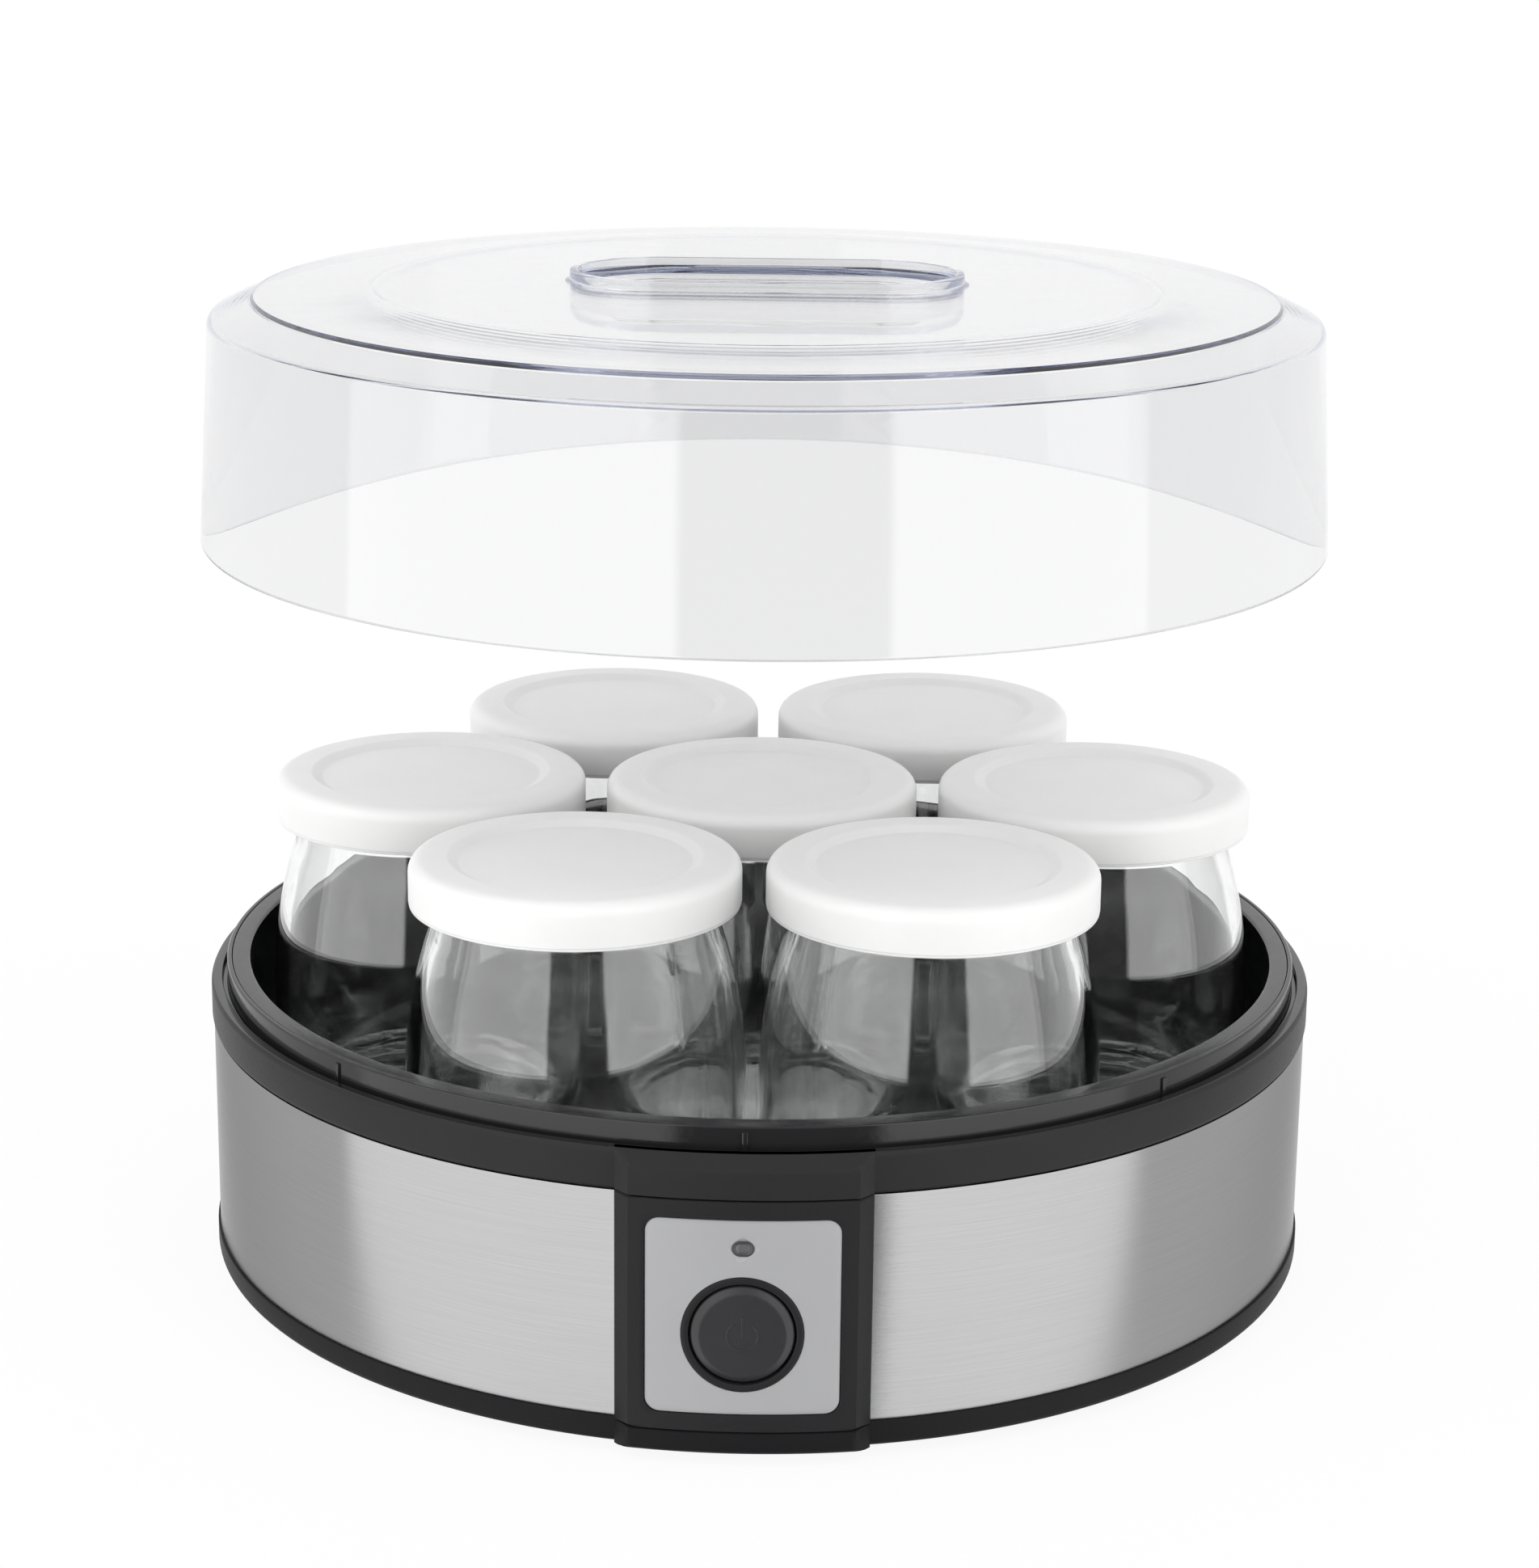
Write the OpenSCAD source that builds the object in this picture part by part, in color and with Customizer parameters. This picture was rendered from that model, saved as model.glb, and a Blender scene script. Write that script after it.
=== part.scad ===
// Yogurt maker with seven glass jars.
// Frame: millimetres, +Z up, origin on the ground under the centre of the round base.
// The control panel faces -Y. The clear lid is drawn lifted clear of the jars.

/* [Jars] */
// Largest outer radius of a glass jar
jar_r = 35.2; // [33:0.1:37]
// Height of a glass jar without its cap
jar_h = 78.2; // [72:0.1:84]
// Glass thickness at the jar's side
jar_wall = 2.8; // [2:0.1:3.6]
// Glass thickness at the jar's bottom
jar_base = 5; // [3.5:0.1:7]
// Height of the widest part of a jar above its bottom
jar_belly_h = 32; // [28:0.5:36]
// Radius of the round bead that the cap snaps over
bead_r = 32.2; // [31.4:0.1:32.4]
// Height of that bead
bead_h = 7.4; // [6:0.1:8.4]
// Space between two neighbouring jars
jar_gap = 2.4; // [1.2:0.1:5]
// Number of jars in the outer circle
jar_count = 6; // [3:1:6]

/* [Jar caps] */
// Outer radius of a cap
cap_r = 34; // [33.6:0.1:34.8]
// Height of a cap
cap_h = 9.8; // [8.8:0.1:12]
// Thickness of a cap's top where it lies on the glass
cap_top = 1.8; // [1.5:0.1:2.6]
// Radius of the cap's top edge
cap_round = 3; // [1.5:0.1:4]
// Radius of the flat disc sunk in the cap's top
cap_disc_r = 23.8; // [18:0.1:24.4]
// Depth of that disc
cap_disc_dip = 0.9; // [0.4:0.1:1]

/* [Pot] */
// Space between the jars and the foot of the pot's wall
pot_clear = 2; // [1.4:0.1:5]
// Wall thickness of the pot
pot_wall = 1.6; // [1.2:0.1:2]
// How much wider the pot is at its mouth than at its foot
pot_draft = 2.2; // [1:0.1:3]
// Depth of the pot from the top of the ring's lip
pot_depth = 42.4; // [38:0.1:50]
// Radius between the pot's wall and its floor
pot_round = 4; // [2:0.5:6]
// Width of the flange round the pot's mouth
flange_w = 4; // [3:0.1:6]

/* [Top ring] */
// Thickness of the ring's upright lip
lip_wall = 1; // [0.8:0.1:1.6]
// Height of the lip above the lid's seat
lip_h = 4.4; // [3:0.1:6]
// Width of the groove between lip and seat
groove_w = 1.1; // [0.8:0.1:1.6]
// Depth of the groove
groove_d = 1.6; // [0.8:0.1:2.4]
// Width of the lid's seat
seat_w = 2.4; // [2.2:0.1:3]
// Height of the ring below the seat
ring_h = 8.8; // [7:0.1:12]
// Number of small ribs that centre the lid on the lip
rib_count = 8; // [4:1:12]

/* [Casing] */
// How far the steel band lies inside the ring's outer face
band_inset = 0.4; // [0.3:0.1:1.2]
// Thickness of the steel band
band_wall = 0.5; // [0.4:0.1:0.8]
// How far the bottom shell's skirt stands out past the ring
skirt_out = 0.1; // [0:0.1:0.6]
// Height of the skirt that shows below the band
skirt_h = 5.6; // [4.5:0.1:8]
// Thickness of the bottom shell's floor
shell_floor = 2.2; // [1.8:0.1:3]
// Height of the space for the heater under the pot
bay_h = 20; // [18:0.1:26]
// Height of the rubber feet below the shell
foot_h = 2.2; // [2:0.1:6]
// Radius of a rubber foot
foot_r = 8; // [6:0.5:10]

/* [Lid] */
// Thickness of the clear plastic
lid_wall = 1.8; // [1.4:0.1:2.4]
// How far the lid's rim lies inside the ring's outer face
lid_inset = 0.55; // [0.3:0.05:0.8]
// How much the side leans in from rim to shoulder
lid_lean = 2.6; // [1:0.1:4]
// Space between the sunk grip and the jar caps under it
lid_clear = 1.5; // [1:0.1:6]
// Depth of the sunk grip
grip_depth = 10.6; // [8:0.1:12]
// Length of the sunk grip
grip_l = 83.5; // [70:0.5:96]
// Width of the sunk grip
grip_w = 40; // [34:0.5:50]
// Height of the raised rim round the grip
grip_rim = 1.8; // [1:0.1:2.6]
// How high the lid hovers above its seat
lid_raise = 96.7; // [90:0.1:130]

/* [Control panel] */
// Width of the panel
panel_w = 50.2; // [48:0.1:58]
// How far the panel stands out past the ring
panel_out = 2.7; // [2.4:0.1:3.6]
// Width of the silver insert
insert_w = 38; // [32:0.1:42]
// Height of the silver insert
insert_h = 40.5; // [36:0.1:41.5]
// Thickness of the silver insert
insert_t = 1; // [0.8:0.1:1.2]
// Height of the button's centre above the insert's lower edge
button_rise = 16.8; // [15:0.1:19]
// Radius of the power button
button_r = 10.1; // [9:0.1:10.4]
// Outer radius of the ring around the button
bezel_r = 12; // [11.4:0.1:12.6]
// How far the button travels when it is pressed
button_travel = 2; // [1:0.1:2.2]
// Depth of the indicator window's centre below the insert's upper edge
lens_drop = 5.8; // [5.5:0.1:7]
// Length of the oval indicator window
lens_l = 4.3; // [3.6:0.1:5]
// Height of the oval indicator window
lens_w = 3.2; // [2.6:0.1:3.4]

/* [Heater] */
// Radius of the aluminium disc that spreads the heat
spreader_r = 88; // [80:0.5:92]
// Radius of the heater wire's insulation
wire_r = 1.2; // [0.8:0.1:1.4]
// Thickness of the insulation pad
pad_t = 5.6; // [4:0.1:6]
// Outer radius of the thermostat
thermostat_r = 8; // [6:0.5:10]
// Height of the thermostat's body
thermostat_h = 9; // [7:0.1:11]
// Radius of the mains cord's hole in the rear bushing
cord_r = 3.3; // [2.6:0.1:4]

/* [Hidden] */
$fn = 96;
// Clearances: a running fit, a plain gap between seated pieces, and the gap of a moulded seam
fit = 0.1;
gap = 0.3;
seam = 0.15;

// Radii, from the jars outwards
jar_pitch = 2 * jar_r + jar_gap;
pot_foot_r = jar_pitch + jar_r + pot_clear;
pot_mouth_r = pot_foot_r + pot_draft;
flange_r = pot_mouth_r + flange_w;
lip_in_r = flange_r + fit;
lip_r = lip_in_r + lip_wall;
seat_r = lip_r + groove_w;
ring_r = seat_r + seat_w;
band_r = ring_r - band_inset;
band_in_r = band_r - band_wall;
skirt_r = ring_r + skirt_out;
panel_r = ring_r + panel_out;

// Levels, from the ground upwards
floor_z = foot_h + shell_floor;
pot_under_z = floor_z + bay_h;
pot_z = pot_under_z + pot_wall;
band_z = foot_h + skirt_h;
lip_z = pot_z + pot_depth;
seat_z = lip_z - lip_h;
ring_z = seat_z - ring_h;
jar_top_z = pot_z + jar_h;
cap_z = jar_top_z + cap_top - cap_h;
cap_top_z = jar_top_z + cap_top;

// Top ring
flange_t = 2;
shelf_t = 2.2;
flange_dip = 0.1;
rib_w = 1.2;
rib_out = 0.5;
shelf_in_r = pot_mouth_r + pot_wall + 0.4;
collar_in_r = band_in_r - fit;
collar_t = 2;
collar_drop = 4;

// Bottom shell
skirt_round = 1.6;
foot_plug_r = 5;
foot_at = 98;
foot_angles = [45, 135, 225, 315];
post_r = 4.6;
post_h = 6.8;
post_angles = [20, 160, 200, 340];
screw_r = 1.4;
screw_head_r = 3;
screw_head_h = 2;
vent_count = 16;
vent_l = 16;
vent_w = 2.4;
vent_at = 40;

// Control panel. Depths are distances from the middle axis.
panel_chamfer = 2.8;
panel_side_back = 5.3;
panel_z0 = band_z - 0.5;
panel_z1 = ring_z + 0.2;
band_opening = panel_w - 6.2;
frame_back = panel_r - 5.5;
flange_seat = panel_r - 3.3;
bezel_seat = flange_seat + 1;
insert_dip = 0.3;
insert_front = panel_r - insert_dip;
insert_back = insert_front - insert_t;
insert_z = (panel_z0 + panel_z1) / 2 - insert_h / 2 - 0.1;
insert_round = 2.9;
button_z = insert_z + button_rise;
lens_z = insert_z + insert_h - lens_drop;
button_front = panel_r + 0.5;
button_flange_r = button_r + 1.3;
button_flange_t = 1;
button_skin = 1.6;
stem_r = 1.9;
stem_dip = 0.6;
switch_front = flange_seat - button_flange_t - button_travel - gap;
board_t = 1;
board_top_z = lens_z + 3;
board_low_z = floor_z + 5.5;
board_w = 38;
board_back = pot_outer_r(board_top_z) + seam;
board_front = board_back + board_t;
switch_size = 12;
peg_x = 15.5;
peg_z = board_top_z - 3;
board_screw_z = board_low_z + 4;
board_screw_r = 0.9;
board_head_r = 2.2;
board_head_h = 1.3;
peg_r = 2.6;

// Heater
spreader_t = 0.8;
spreader_z = pot_under_z - spreader_t;
wire_z = spreader_z - wire_r - 0.05;
wire_edge = 12;
wire_pitch = 18;
wire_rings = [for (i = [2:-1:0]) spreader_r - wire_edge - i * wire_pitch];
pad_top_z = wire_z - wire_r - 0.05;
pad_z = pad_top_z - pad_t;
core_r = thermostat_r + 5;
tab_w = 6;
tab_l = 5;
tab_t = 0.8;
shield_t = 0.6;
shield_in_r = spreader_r + 1.5;
shield_r = shield_in_r + shield_t;
shield_z = pad_z - shield_t;
shield_boss_r = 3.5;
shield_boss_at = shield_r + shield_boss_r + 0.5;
shield_angles = [30, 150, 270];
post_clear = 3.3;
post_at = shield_r + post_clear + post_r;
fuse_r = 2;
fuse_y = 24;

// Terminal block in the rear
block_w = 30;
block_depth = 14;
block_h = 12;
clamp_depth = 5;
block_y = collar_in_r - collar_t - block_depth - 6;
lead_r = 1.1;
lead_x = 26;
lead_turn = 26;
lead_drop = 6;
lead_spread = 20;

// Cord bushing in the rear
bushing_r = cord_r + 2.7;
bushing_flange_r = bushing_r + 1.6;
bushing_z = band_z + collar_drop + bushing_flange_r + gap;
bushing_out = 1.2;
bushing_in = 3.4;

// Lid, measured from the lid's own rim
lid_r = ring_r - lid_inset;
lid_rim_wall = 1.5;
grip_floor_h = cap_top_z + lid_clear + lid_wall - seat_z;
grip_top_h = grip_floor_h + grip_depth;
crown_h = grip_top_h - grip_rim;
crease_r = lid_r * 0.692;
crease_h = crown_h - 1.2;
step_r = lid_r - 12;
step_top_h = crown_h - 2.6;
step_foot_h = step_top_h - 0.8;
shoulder_r = 2.5;
shoulder_h = step_foot_h - 3.3;
grip_round = 3;
lid_z = seat_z + lid_raise;

jar_places = [for (i = [0:jar_count]) i == 0 ? [0, 0] : jar_place((i - 1) * 360 / jar_count)];

// ---- shared helpers ----

// Centre of an outer jar at an angle
function jar_place(a) = [jar_pitch * cos(a), jar_pitch * sin(a)];

// Points of an arc from angle a0 to angle a1
function arc(c, r, a0, a1, n = 6) = [
    for (i = [0:n]) c + r * [cos(a0 + (a1 - a0) * i / n), sin(a0 + (a1 - a0) * i / n)]
];

// The same points in reverse order
function reversed(p) = [for (i = [len(p) - 1:-1:0]) p[i]];

// Radius of the pot's inner and outer wall at a level
function pot_inner_r(z) = pot_foot_r + pot_draft * (z - pot_z) / pot_depth;
function pot_outer_r(z) = pot_inner_r(z) + pot_wall;

// Places its children at a radius and at each angle of a list
module around(radius, angles) {
    for (a = angles) rotate(a) translate([radius, 0, 0]) children();
}

// A bar along Y, from depth d0 to depth d1 at the front of the casing
module front_rod(d0, d1, r, x = 0, z = 0) {
    translate([x, -d0, z]) rotate([90, 0, 0]) cylinder(h = d1 - d0, r = r);
}

// A tube of wire through a list of points
module run_wire(points, r) {
    for (i = [0:len(points) - 2]) {
        step = points[i + 1] - points[i];
        length = norm(step);
        translate(points[i])
            rotate([0, acos(step.z / length), atan2(step.y, step.x)])
                cylinder(h = length, r = r, $fn = 24);
    }
    for (i = [1:len(points) - 2]) translate(points[i]) sphere(r = r + 0.05, $fn = 24);
}

// Outline of the control panel seen from above, cut from a disc of the given radius
module panel_plan(r, w) {
    side = panel_r - panel_side_back;
    shoulder_x = w / 2 - panel_chamfer;
    shoulder_y = sqrt(panel_r * panel_r - shoulder_x * shoulder_x);
    intersection() {
        circle(r = r, $fn = 240);
        polygon([
            [-w / 2, -panel_r / 2], [w / 2, -panel_r / 2], [w / 2, -side], [shoulder_x, -shoulder_y],
            [shoulder_x, -panel_r - 1], [-shoulder_x, -panel_r - 1], [-shoulder_x, -shoulder_y], [-w / 2, -side]
        ]);
    }
}

// Rectangle with round corners, standing in the XZ plane and swept along Y
module upright_plate(w, h, corner, d0, d1, z) {
    translate([0, -d0, z]) rotate([90, 0, 0]) linear_extrude(d1 - d0) union() {
        translate([-w / 2 + corner, 0]) square([w - 2 * corner, h]);
        translate([-w / 2, corner]) square([w, h - 2 * corner]);
        for (x = [-1, 1], y = [corner, h - corner])
            translate([x * (w / 2 - corner), y]) circle(r = corner, $fn = 48);
    }
}

// ---- casing ----

module bottom_shell() {
    spigot_top = band_z + collar_drop;
    color("#2c2c2e") difference() {
        union() {
            rotate_extrude($fn = 240) polygon(concat(
                [[0, foot_h]],
                arc([skirt_r - skirt_round, foot_h + skirt_round], skirt_round, -90, 0),
                [
                    [skirt_r, band_z], [collar_in_r, band_z], [collar_in_r, spigot_top],
                    [collar_in_r - collar_t, spigot_top], [collar_in_r - collar_t, floor_z], [0, floor_z]
                ]
            ));
            // bulge below the control panel
            intersection() {
                translate([0, 0, foot_h])
                    linear_extrude(panel_z0 - seam - foot_h) panel_plan(panel_r, panel_w);
                rotate_extrude($fn = 240) polygon(concat(
                    [[collar_in_r - 4, foot_h]],
                    arc([panel_r - skirt_round, foot_h + skirt_round], skirt_round, -90, 0),
                    [[panel_r, band_z], [collar_in_r - 4, band_z]]
                ));
            }
            // posts for the screws that draw the casing together
            around(post_at, post_angles)
                translate([0, 0, foot_h]) cylinder(h = shell_floor + post_h, r = post_r);
            // stiffening rings on the floor
            for (r = [vent_at + vent_l + 6, spreader_r]) translate([0, 0, foot_h]) difference() {
                cylinder(h = shell_floor + 1.6, r = r + 0.8);
                translate([0, 0, -1]) cylinder(h = shell_floor + 4, r = r - 0.8);
            }
        }
        // room for the control panel in the spigot
        translate([-band_opening / 2 - gap, -skirt_r - 1, panel_z0 - seam])
            cube([band_opening + 2 * gap, 12, 20]);
        // screw seats and holes
        around(post_at, post_angles) {
            translate([0, 0, foot_h - 1]) cylinder(h = 1 + shell_floor + post_h - 2.2, r = screw_head_r + gap);
            translate([0, 0, foot_h]) cylinder(h = shell_floor + post_h + 1, r = screw_r + gap);
        }
        // holes for the plugs of the feet
        around(foot_at, foot_angles)
            translate([0, 0, foot_h - 1]) cylinder(h = shell_floor + 2, r = foot_plug_r + fit);
        // vents
        around(vent_at, [for (i = [0:vent_count - 1]) i * 360 / vent_count])
            translate([0, -vent_w / 2, foot_h - 1]) cube([vent_l, vent_w, shell_floor + 2]);
    }
}

module feet() {
    color("#1d1d1e") around(foot_at, foot_angles) rotate_extrude() polygon(concat(
        [[0, 0]],
        arc([foot_r - 0.8, 0.8], 0.8, -90, 0, 4),
        [[foot_r, foot_h], [foot_plug_r, foot_h], [foot_plug_r, floor_z + 0.6], [0, floor_z + 0.6]]
    ));
}

module shell_screws() {
    seat = foot_h + shell_floor + post_h - 2.2;
    color("#b9bcc0") around(post_at, post_angles) difference() {
        union() {
            translate([0, 0, seat - screw_head_h]) cylinder(h = screw_head_h, r = screw_head_r);
            translate([0, 0, seat]) cylinder(h = pot_under_z - seat - 3, r = screw_r);
        }
        for (a = [0, 90]) rotate(a) translate([-2, -0.4, seat - screw_head_h - 1]) cube([4, 0.8, 2]);
    }
}

module steel_band() {
    color("#b4b5b7") difference() {
        translate([0, 0, band_z]) linear_extrude(ring_z - band_z) difference() {
            circle(r = band_r, $fn = 240);
            circle(r = band_in_r, $fn = 240);
            translate([-band_opening / 2, -band_r - 1]) square([band_opening, 12]);
        }
        translate([0, band_r + 5, bushing_z]) rotate([90, 0, 0]) cylinder(h = 20, r = bushing_r + fit);
    }
}

module top_ring() {
    crease_z = seat_z - 0.8;
    shelf_z = lip_z - flange_dip - flange_t - shelf_t;
    cap_front_z = seat_z - 2.7;
    chord_y = sqrt(band_in_r * band_in_r - panel_w * panel_w / 4);
    color("#3b3b3d") union() {
        difference() {
            union() {
                rotate_extrude($fn = 240) polygon([
                    [band_in_r - collar_t, ring_z], [ring_r - 0.6, ring_z], [ring_r, ring_z + 1.3],
                    [ring_r, seat_z - 1.8], [ring_r - 0.2, crease_z], [ring_r - 0.5, seat_z],
                    [seat_r, seat_z], [seat_r, seat_z - groove_d], [lip_r, seat_z - groove_d],
                    [lip_r, lip_z - 0.4], [lip_r - 0.3, lip_z], [lip_in_r, lip_z],
                    [lip_in_r, shelf_z + shelf_t], [shelf_in_r, shelf_z + shelf_t], [shelf_in_r, shelf_z],
                    [band_in_r - collar_t, shelf_z - 4]
                ]);
                // collar that holds the steel band's top edge from inside
                translate([0, 0, ring_z - collar_drop]) difference() {
                    cylinder(h = collar_drop + 1, r = collar_in_r, $fn = 240);
                    translate([0, 0, -1]) cylinder(h = collar_drop + 3, r = band_in_r - collar_t, $fn = 240);
                }
                // ribs that centre the lid
                around(lip_r - rib_out, [for (i = [0:rib_count - 1]) i * 360 / rib_count])
                    translate([0, -rib_w / 2, seat_z - groove_d])
                        cube([2 * rib_out, rib_w, lip_h + groove_d - 0.8]);
            }
            translate([-band_opening / 2 - gap, -ring_r - 1, ring_z - collar_drop - 1])
                cube([band_opening + 2 * gap, 12, collar_drop + 1 + panel_z1 - ring_z + seam]);
            translate([-panel_w / 2 - gap, -ring_r - 9, ring_z - 1])
                cube([panel_w + 2 * gap, 9 + ring_r - chord_y, 1 + panel_z1 - ring_z + seam]);
        }
        // sloped cap above the control panel
        intersection() {
            translate([0, 0, panel_z1 + seam]) linear_extrude(ring_h) panel_plan(panel_r, panel_w);
            rotate_extrude($fn = 240) polygon([
                [seat_r + 0.4, panel_z1 + seam], [panel_r, panel_z1 + seam], [panel_r, cap_front_z],
                [ring_r - 0.5, seat_z], [seat_r + 0.4, seat_z]
            ]);
        }
    }
}

module pot() {
    top = lip_z - flange_dip;
    color("#232325") difference() {
        union() {
            rotate_extrude($fn = 240) polygon(concat(
                [[0, pot_under_z]],
                arc([pot_foot_r - pot_round, pot_z + pot_round], pot_round + pot_wall, -90, 0),
                [
                    [pot_outer_r(top - flange_t), top - flange_t], [flange_r, top - flange_t],
                    [flange_r, top - 0.3], [flange_r - 0.3, top], [pot_mouth_r + 0.5, top],
                    [pot_mouth_r + 0.15, top - 0.2], [pot_mouth_r, top - 0.6]
                ],
                reversed(arc([pot_foot_r - pot_round, pot_z + pot_round], pot_round, -90, 0)),
                [[0, pot_z]]
            ));
            // bosses for the shell screws and the shield screws
            around(post_at, post_angles)
                translate([0, 0, floor_z + post_h]) cylinder(h = bay_h - post_h + 0.5, r = post_r - 0.6);
            around(shield_boss_at, shield_angles)
                translate([0, 0, shield_z + shield_t])
                    cylinder(h = pot_under_z - shield_z - shield_t + 0.5, r = shield_boss_r);
        }
        around(post_at, post_angles) translate([0, 0, floor_z]) cylinder(h = bay_h - 1, r = screw_r + 0.05);
        around(shield_boss_at, shield_angles)
            translate([0, 0, shield_z]) cylinder(h = pot_under_z - shield_z - 1, r = screw_r + 0.05);
    }
}

// ---- heater ----

module heat_spreader() {
    color("#c9cacc") translate([0, 0, spreader_z]) cylinder(h = spreader_t, r = spreader_r);
}

module heater_wire() {
    open_angle = 16;
    color("#d8d4c4") union() {
        for (i = [0:len(wire_rings) - 1]) {
            rotate(-90 + open_angle / 2) rotate_extrude(angle = 360 - open_angle)
                translate([wire_rings[i], wire_z]) circle(r = wire_r, $fn = 32);
        }
        // links from ring to ring, first on one side of the opening, then on the other
        for (i = [0:len(wire_rings) - 2]) {
            side = i % 2 == 0 ? 1 : -1;
            rotate(-90 + side * open_angle / 2) translate([wire_rings[i] - wire_r, 0, wire_z])
                rotate([0, 90, 0])
                    cylinder(h = wire_rings[i + 1] - wire_rings[i] + 2 * wire_r, r = wire_r, $fn = 32);
        }
    }
}

module insulation_pad() {
    color("#d9d6cc") difference() {
        translate([0, 0, pad_z]) cylinder(h = pad_t, r = spreader_r);
        translate([0, 0, pad_z - 1]) cylinder(h = pad_t + 2, r = core_r);
        translate([-17, fuse_y - fuse_r - 1, pad_top_z - 2.4]) cube([34, 2 * fuse_r + 2, 4]);
    }
}

module heat_shield() {
    color("#a9adb1") difference() {
        union() {
            translate([0, 0, shield_z]) cylinder(h = pot_under_z - shield_z - gap, r = shield_r);
            around(shield_boss_at, shield_angles)
                translate([0, 0, shield_z]) cylinder(h = shield_t, r = shield_boss_r + 1);
        }
        translate([0, 0, shield_z + shield_t]) cylinder(h = bay_h, r = shield_in_r);
        translate([0, 0, shield_z - 1]) cylinder(h = 3, r = core_r);
        around(shield_boss_at, shield_angles)
            translate([0, 0, shield_z - 1]) cylinder(h = 3, r = screw_r + fit);
    }
}

module shield_screws() {
    color("#b9bcc0") around(shield_boss_at, shield_angles) union() {
        translate([0, 0, shield_z - 1.4]) cylinder(h = 1.4, r = screw_head_r - 0.4);
        translate([0, 0, shield_z]) cylinder(h = pot_under_z - shield_z - 3, r = screw_r);
    }
}

module thermostat() {
    color("#6b4f3a") union() {
        translate([0, 0, spreader_z - 0.8]) cylinder(h = 0.8, r = thermostat_r + 3);
        translate([0, 0, spreader_z - thermostat_h]) cylinder(h = thermostat_h - 0.4, r = thermostat_r);
        for (x = [-1, 1])
            translate([x * thermostat_r / 2 - tab_t / 2, -tab_w / 2, spreader_z - thermostat_h - tab_l])
                cube([tab_t, tab_w, tab_l + 0.4]);
    }
}

module thermal_fuse() {
    body_l = 12;
    lead_l = 8;
    z = spreader_z - fuse_r - 0.1;
    color("#e8e2d2") union() {
        translate([-body_l / 2, fuse_y, z]) rotate([0, 90, 0]) cylinder(h = body_l, r = fuse_r, $fn = 32);
        translate([-body_l / 2 - lead_l, fuse_y, z])
            rotate([0, 90, 0]) cylinder(h = body_l + 2 * lead_l, r = 0.5, $fn = 24);
    }
}

module terminal_block() {
    color("#e6e3da") translate([0, block_y, floor_z]) difference() {
        translate([-block_w / 2, 0, 0]) cube([block_w, block_depth, block_h]);
        for (i = [-1:1]) translate([i * block_w / 3, 0, 0]) {
            translate([0, block_depth / 2, block_h - clamp_depth])
                cylinder(h = clamp_depth + 1, r = 2.2, $fn = 32);
            translate([0, -1, block_h / 2])
                rotate([-90, 0, 0]) cylinder(h = block_depth + 2, r = 1.6, $fn = 32);
        }
    }
}

module cord_bushing() {
    neck_in = band_in_r - 0.6;
    color("#242426") translate([0, 0, bushing_z]) rotate([-90, 0, 0]) difference() {
        union() {
            translate([0, 0, band_r + fit]) cylinder(h = bushing_out, r = bushing_flange_r);
            translate([0, 0, neck_in - 1]) cylinder(h = band_r + fit + 2 - neck_in, r = bushing_r);
            translate([0, 0, neck_in - bushing_in + 1]) cylinder(h = bushing_in - 1, r = bushing_flange_r);
        }
        translate([0, 0, neck_in - bushing_in]) cylinder(h = 20, r = cord_r);
    }
}

module wiring() {
    low = floor_z + 3.2;
    rear = block_y - 0.6;
    turn_y = board_back - lead_turn;
    color("#7d4a2c") union() {
        // mains leads from the terminal block to the control board
        for (s = [-1, 1]) run_wire([
            [s * block_w / 3, rear, floor_z + block_h / 2], [s * block_w / 3, rear - lead_drop, low],
            [s * lead_x, rear - lead_spread, low], [s * lead_x, -turn_y, low],
            [s * 12, -board_back + 8, low], [s * 12, -board_back + 1.4, board_low_z + 3]
        ], lead_r);
    }
}

// ---- control panel ----

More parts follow.
